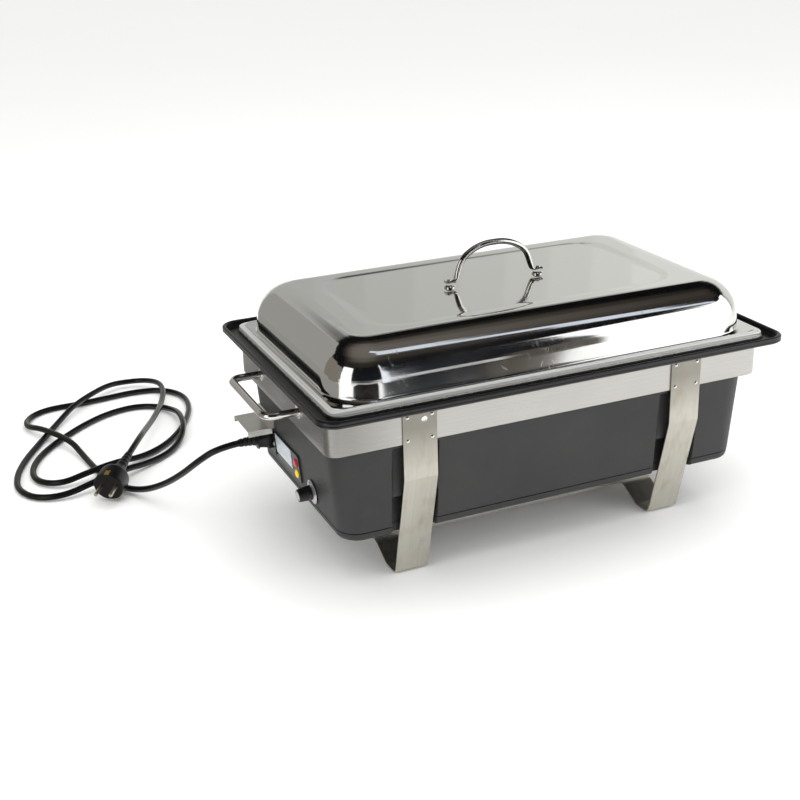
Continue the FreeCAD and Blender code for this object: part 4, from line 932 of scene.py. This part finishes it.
def wallRing(z, long, wide, corner, shape):
    # Rows of the drafted wall with fixed columns on the long sides, close together at the edges
    # of the four strap recesses.
    z, long, wide, corner = (v[:, None] for v in np.broadcast_arrays(z, long, wide, corner))
    edges = np.array([side * shape["strapAt"] + way for side in (-1, 1)
                      for way in (-shape["recessWide"], shape["recessNear"])])
    close = np.array([-2.4, -1.2, -0.4, 0.4, 1.2, 2.4])
    xs = np.sort(np.concatenate([(edges[:, None] + close).ravel(), np.linspace(-120, 120, 17),
                                 [-180, -165, -150, 150, 165, 180]]))
    ys = np.linspace(-0.92, 0.92, 17)
    quarter = np.linspace(0, math.pi / 2, 16)
    turnX, turnY = np.cos(quarter), np.sin(quarter)
    one = np.ones_like(z)
    sides = []
    for cx, cy, ax, ay in [(1, 1, turnX, turnY), (-1, 1, -turnY, turnX), (-1, -1, -turnX, -turnY),
                           (1, -1, turnY, -turnX)]:
        sides.append((cx * (long - corner) + corner * ax, cy * (wide - corner) + corner * ay))
        if cx * cy > 0:
            sides.append((one * -xs * cy, one * wide * cy * np.ones_like(xs)))
        else:
            sides.append((one * long * cx * np.ones_like(ys), -ys * (wide - corner) * cy))
    x = np.concatenate([s[0] for s in sides], axis=1)
    y = np.concatenate([s[1] for s in sides], axis=1)
    z = np.broadcast_to(z, x.shape)
    soft = shape["soft"]
    beside = x - np.where(x < 0, -1, 1) * shape["strapAt"]
    within = (np.clip((shape["recessWide"] + soft / 2 + beside) / soft, 0, 1)
              * np.clip((shape["recessNear"] + soft / 2 - beside) / soft, 0, 1))
    below = np.clip((shape["recessTop"] + soft / 2 - z) / soft, 0, 1)
    lower = np.clip((shape["recessStep"] + soft / 2 - z) / soft, 0, 1)
    limit = shape["recessShallow"] + (shape["recessDeep"] - shape["recessShallow"]) * lower
    y = y - np.sign(y) * np.maximum(np.abs(y) - limit, 0) * within * below
    return np.stack([x, y, z], axis=-1)


def makeHousing(shape):
    # Drafted wall from the seam to the band, a shelf below the band and a collar inside it.
    lean = math.tan(math.radians(shape["draft"]))
    start = shape["seam"] + shape["gap"]
    step, top = shape["recessStep"], shape["recessTop"]
    z = np.concatenate([[start, start + 0.5, start + 2], np.linspace(76, step - 2, 6),
                        step + np.array([-1.2, -0.6, 0, 0.6, 1.2]), np.linspace(step + 4, top - 3, 8),
                        top + np.array([-1.2, -0.6, 0, 0.6, 1.2]), [shape["shelf"] - 0.4]])
    grow = (z - shape["low"]) * lean
    chamfer = np.interp(z, [start, start + 0.5], [0.5, 0.0])
    long, wide = shape["long"] + grow - chamfer, shape["wide"] + grow - chamfer
    corner = shape["corner"] + (z - shape["seam"]) * lean
    shelf = shape["shelf"]
    z = np.concatenate([z, [shelf, shelf, shelf + 0.3, shape["collar"]]])
    long = np.concatenate([long, [long[-1] + 0.4, shape["shelfLong"] - 0.3, shape["shelfLong"],
                                  shape["shelfLong"]]])
    wide = np.concatenate([wide, [wide[-1] + 0.4, shape["shelfWide"] - 0.3, shape["shelfWide"],
                                  shape["shelfWide"]]])
    corner = np.concatenate([corner, [corner[-1], 13, 13, 13]])
    grid = wallRing(z, long, wide, corner, shape)
    shell = addGrid("housing_shell", grid, "server", housingPlastic, crease=38)
    thicken(shell, shape["skin"], 38)
    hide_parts("outer_housing")


def makeBase(shape):
    # Bottom cover: a round lower edge, the same strap recesses and a floor.
    lean = math.tan(math.radians(shape["draft"]))
    low, seam, edge = shape["low"], shape["seam"], shape["edge"]
    line = roundedLine([((seam - low) * -lean + 0.5, seam), ((seam - low - 0.5) * -lean, seam - 0.5),
                        (0, low), (edge + 14, low)], [0, edge], 9)
    inset, z = line[:, 0], line[:, 1]
    corner = np.clip(shape["corner"] - inset, 4, None)
    grid = wallRing(z, shape["long"] - inset, shape["wide"] - inset, corner, shape)
    floor = closingRows(grid[-1], 0.92, 0.04, 12, low)
    cover = addGrid("base_shell", np.concatenate([grid, floor]), "server", basePlastic, crease=38)
    thicken(cover, shape["skin"], 38)
    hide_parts("base_cover")


makeHousing(housingShape)
makeBase(housingShape)
print("housing made")


gripShape = dict(rod=8.6, bend=12.0, inside=6.0)


def makeGrip(name, node, side, shape):
    # Round bar bent into a bail whose two ends go through the band.
    low, high = nodeBox(node)
    radius = shape["rod"] / 2
    inner = side * (bandHigh[0] - shape["inside"])
    reach = side * (max(abs(low[0]), abs(high[0])) - radius)
    half, z = high[1] - radius, (low[2] + high[2]) / 2
    corners = [(inner, -half, z), (reach, -half, z), (reach, half, z), (inner, half, z)]
    bar = addRod(name, corners, [shape["bend"]] * 2, (0, 0, 1), radius, "server", barSteel)
    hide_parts(node)


makeGrip("grip_left", "side_handle_left", -1, gripShape)
makeGrip("grip_right", "side_handle_right", 1, gripShape)


panelShape = dict(facia=2.0, lampY=-6.0, lampHigh=105.0, lampLow=91.5, lampRadius=5.0, lampProud=2.2,
                  dialY=-52.0, dialZ=88.5, gap=1.2, skirt=2.4, skirtRadius=14.0, skirtTop=9.4,
                  knobRadius=8.6, knobTop=7.2, knobLength=15.0, flutes=36, fluteDeep=0.22,
                  capRadius=5.6, capDrop=0.6, indexTurn=0.5)


def outward():
    # The drafted end wall's normal.
    lean = math.radians(housingShape["draft"])
    return np.array([-math.cos(lean), 0.0, -math.sin(lean)])


def onWall(y, z):
    return np.array([endWall(z), y, z])


def makeLamp(name, node, z, finish, shape):
    base, proud, r = shape["facia"], shape["lampProud"], shape["lampRadius"]
    lens = addTurned(name, [(0, -3), (r - 0.9, -3), (r - 0.9, base), (r, base), (r, base + 1.0),
                            (r * 0.55, base + proud), (0, base + proud)],
                     [0, 0, 0.2, 0.5, 2.4], onWall(shape["lampY"], z), outward(), "server", finish)
    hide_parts(node)


def makeDial(shape):
    # Bevelled skirt, fluted tapered knob, its cap and one orange index dot.
    seat, axis = onWall(shape["dialY"], shape["dialZ"]), outward()
    low, top = shape["gap"], shape["gap"] + shape["skirt"]
    r = shape["skirtRadius"]
    skirt = addTurned("dial_bevel", [(0, low), (r, low), (r, low + 0.7), (shape["skirtTop"], top),
                                     (0, top)], [0, 0.2, 0.4, 0.4], seat, axis, "dial", spunMetal, 96)
    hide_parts("dial_skirt")
    end = top + shape["knobLength"]
    cap = shape["capRadius"]
    line = roundedLine([(0, top), (shape["knobRadius"], top), (shape["knobTop"], end),
                        (cap + 0.2, end), (cap + 0.2, end - shape["capDrop"]),
                        (0, end - shape["capDrop"])], [0.4, 0.9, 0.3, 0.1, 0], 6)
    line = spaced(line, 1.2)
    line[:, 0] = np.maximum(line[:, 0], 0.02)
    around = np.linspace(0, 2 * math.pi, 288, endpoint=False)
    onSide = np.clip((line[:, 1] - top - 2.2) / 1.5, 0, 1) * np.clip((end - 1.2 - line[:, 1]) / 1, 0, 1)
    cut = shape["fluteDeep"] * onSide[:, None] * (0.5 - 0.5 * np.cos(shape["flutes"] * around))
    grid = turned(line, seat, axis, len(around))
    spoke = grid - (seat + line[:, 1][:, None, None] * axis)
    grid = grid - spoke / np.linalg.norm(spoke, axis=-1, keepdims=True) * cut[..., None]
    knob = addGrid("dial_knob", grid, "dial", knobPlastic, caps=("first", "last"), crease=45)
    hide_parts("thermostat_knob")
    disc = addTurned("dial_cap", [(0, end - 0.6), (cap, end - 0.6), (cap, end - 0.1), (cap - 0.8, end + 0.2),
                                  (0, end + 0.1)], [0, 0.1, 0.2, 0.5], seat, axis, "dial", spunMetal)
    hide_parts("knob_cap")
    side = np.array([0.0, -math.cos(shape["indexTurn"]), -math.sin(shape["indexTurn"])])
    height = top + 3.2
    dot = addTurned("dial_index", [(0, -0.3), (0.9, -0.3), (0.8, 0.12), (0, 0.16)], [0.1, 0.2],
                    seat + axis * height + side * (shape["knobRadius"] - 0.35), side, "dial",
                    indexPaint, 20)


indexPaint = castResin("orange_index_paint", "#d9742b", "#b85a1c", 0.5, 300.0)
makeLamp("lens_red", "power_lamp", panelShape["lampHigh"], redLens, panelShape)
makeLamp("lens_yellow", "heating_lamp", panelShape["lampLow"], amberLens, panelShape)
makeDial(panelShape)
print("handles and end panel made")


stageSizes = dict(floor=9.0, drop=0.0004)


def makeFloor(sizes):
    # Pale floor sheet.
    half = sizes["floor"] / metre
    corners = [(-half, -half, 0), (half, -half, 0), (half, half, 0), (-half, half, 0)]
    points = np.array(corners) - [0, 0, sizes["drop"] / metre]
    finish, tree, shader, place = startFinish("matt_white_floor", "#fcfcfb", 0.0, 0.7)
    cloud = noise(tree, place, 1.3, 2.0)
    tree.links.new(blended(tree, cloud, "#fdfdfc", "#fafaf9"), shader.inputs["Base Color"])
    floor = addMesh("floor", points, [(0, 1, 2, 3)], None, finish)


softBoxes = [
    dict(name="overhead", place=(0.1, -0.1, 2.3), aim=(0, 0, 0.1), size=(2.6, 1.6), power=22),
    dict(name="leftSide", place=(-2.0, -0.9, 1.2), aim=(-0.1, 0, 0.15), size=(1.0, 1.6), power=9),
    dict(name="rightFront", place=(1.5, -1.9, 1.1), aim=(0.1, 0, 0.1), size=(1.3, 1.3), power=13),
]


def makeLight(box):
    data = bpy.data.lights.new(box["name"], "AREA")
    data.shape = "RECTANGLE"
    data.size, data.size_y = box["size"]
    data.energy = box["power"]
    light = bpy.data.objects.new(box["name"], data)
    bpy.context.scene.collection.objects.link(light)
    light.location = box["place"]
    gaze = Vector(box["aim"]) - Vector(box["place"])
    light.rotation_euler = gaze.to_track_quat("-Z", "Y").to_euler()
    light.visible_glossy = False


# flat cards that only reflections see: four corners in metres, a colour and, where it is not 1,
# a strength
cards = [
    dict(name="dim_floor_left", colour="#1b1815",
         corners=[(-1.3, -1.0, 0.002), (0.0, -1.12, 0.002), (0.35, -4, 0.002), (-3.2, -4, 0.002)]),
    dict(name="dim_floor_front", colour="#10131a",
         corners=[(0.14, -1.1, 0.002), (0.37, -1.1, 0.002), (1.75, -4, 0.002), (0.85, -4, 0.002)]),
    dict(name="brown_floor_front", colour="#5f5a54",
         corners=[(0.37, -1.1, 0.0025), (0.5, -1.1, 0.0025), (2.46, -4, 0.0025), (1.75, -4, 0.0025)]),
    dict(name="brown_board", colour="#57514b",
         corners=[(0.84, -1.98, 0), (1.1, -1.92, 0), (1.1, -1.92, 0.62), (0.84, -1.98, 0.5)]),
    dict(name="right_panel", colour="#ffffff", strength=1.7,
         corners=[(1.1, -1.92, 0), (2.4, -0.2, 0), (2.4, -0.2, 1.7), (1.1, -1.92, 1.45)]),
    dict(name="front_strip", colour="#f2f6ff", strength=1.5,
         corners=[(0.38, -1.98, 0), (0.5, -1.95, 0), (0.46, -1.95, 1.9), (0.39, -1.98, 1.9)]),
    dict(name="grey_wall_corner", colour="#a9a7a2",
         corners=[(-1.53, 1.4, 0), (-0.55, 1.95, 0), (-0.55, 1.95, 1.6), (-1.53, 1.4, 1.6)]),
    dict(name="overhead_strip", colour="#dfe6f4", strength=1.2,
         corners=[(-0.1, -0.33, 1.77), (1.95, -1.72, 1.77), (2.05, -1.56, 1.77), (0.0, -0.16, 1.77)]),
    dict(name="left_panel", colour="#ffffff", strength=1.6,
         corners=[(-1.98, -0.34, 0), (-1.62, -1.12, 0), (-1.62, -1.12, 1.5), (-1.98, -0.34, 1.5)]),
    dict(name="left_wall", colour="#8a8379",
         corners=[(-1.53, 1.4, 0), (-2.05, -0.2, 0), (-2.05, -0.2, 1.3), (-1.53, 1.4, 1.3)]),
    dict(name="left_floor", colour="#a3a19c",
         corners=[(-1.9, -0.2, 0.002), (-0.42, -0.2, 0.002), (-0.42, 1.9, 0.002), (-1.9, 1.9, 0.002)]),
]

# the far wall pales from left to right in steps too small to see as edges
farWall = [(-0.55, 0.45, "#bdbdba"), (0.45, 0.6, "#c2c2bf"), (0.6, 0.75, "#c7c7c4"),
           (0.75, 0.9, "#cccdc9"), (0.9, 1.05, "#d2d2cf"), (1.05, 1.2, "#d8d8d5"),
           (1.2, 1.35, "#dfdfdc"), (1.35, 1.5, "#e6e6e3")]
for number, (left, right, colour) in enumerate(farWall):
    cards.append(dict(name="far_wall_%d" % number, colour=colour,
                      corners=[(left, 1.95, 0.5), (right, 1.95, 0.5),
                               (right, 1.95, 1.22), (left, 1.95, 1.22)]))


def makeCard(card):
    # Card that the lens never sees and that casts no shade: it is there for reflections only.
    finish = bpy.data.materials.new(card["name"])
    finish.use_nodes = True
    tree = finish.node_tree
    tree.nodes.clear()
    glow = addNode(tree, "ShaderNodeEmission", {"Color": hexColour(card["colour"]),
                                                "Strength": card.get("strength", 1.0)})
    addNode(tree, "ShaderNodeOutputMaterial", None, {"Surface": glow.outputs[0]})
    piece = addMesh(card["name"], np.array(card["corners"]) / metre, [(0, 1, 2, 3)], None, finish)
    for kind in ("camera", "diffuse", "transmission", "volume_scatter", "shadow"):
        setattr(piece, "visible_" + kind, False)


# brightness of the room by the height of a direction, from level to straight up
roomBack = [(0.0, "#f4f4f1"), (0.4, "#eeeeeb"), (0.47, "#55534f"), (0.53, "#0c0c0d"), (0.76, "#0d0c0c"),
            (0.84, "#3b3631"), (0.93, "#6e6862"), (1.0, "#77716a")]
roomFront = [(0.0, "#191b21"), (0.3, "#14161c"), (0.62, "#0e0e11"), (0.8, "#3a352f"), (0.93, "#6e6862"),
             (1.0, "#77716a")]


def roomRamp(tree, height, stops):
    ramp = addNode(tree, "ShaderNodeValToRGB", None, {"Fac": height})
    points = ramp.color_ramp.elements
    for _ in range(len(stops) - 2):
        points.new(0.5)
    for point, (where, colour) in zip(points, stops):
        point.position = where
        point.color = hexColour(colour)
    return ramp.outputs["Color"]


def makeRoom():
    # Air light: even for everything, but polished metal sees a room with a pale backdrop, a dark
    # upper wall and a dim front.
    world = bpy.data.worlds.new("studio")
    world.use_nodes = True
    bpy.context.scene.world = world
    tree = world.node_tree
    tree.nodes.clear()
    way = addNode(tree, "ShaderNodeTexCoord").outputs["Generated"]
    parts = addNode(tree, "ShaderNodeSeparateXYZ", None, {"Vector": way})
    front = between(tree, parts.outputs["Y"], 0.0, 1.0, -0.15, 0.15)
    seen = addNode(tree, "ShaderNodeMix", {"data_type": "RGBA"}, {"Factor": front})
    tree.links.new(roomRamp(tree, parts.outputs["Z"], roomFront), seen.inputs[6])
    tree.links.new(roomRamp(tree, parts.outputs["Z"], roomBack), seen.inputs[7])
    glossy = addNode(tree, "ShaderNodeLightPath").outputs["Is Glossy Ray"]
    even = addNode(tree, "ShaderNodeBackground", {"Color": hexColour("#ffffff"), "Strength": 1.0})
    room = addNode(tree, "ShaderNodeBackground", {"Strength": 1.0}, {"Color": seen.outputs[2]})
    mixed = addNode(tree, "ShaderNodeMixShader", None,
                    {0: glossy, 1: even.outputs[0], 2: room.outputs[0]})
    addNode(tree, "ShaderNodeOutputWorld", None, {"Surface": mixed.outputs[0]})


makeFloor(stageSizes)
for box in softBoxes:
    makeLight(box)
for card in cards:
    makeCard(card)
makeRoom()
bpy.context.scene.view_settings.view_transform = "Standard"
print("stage made")
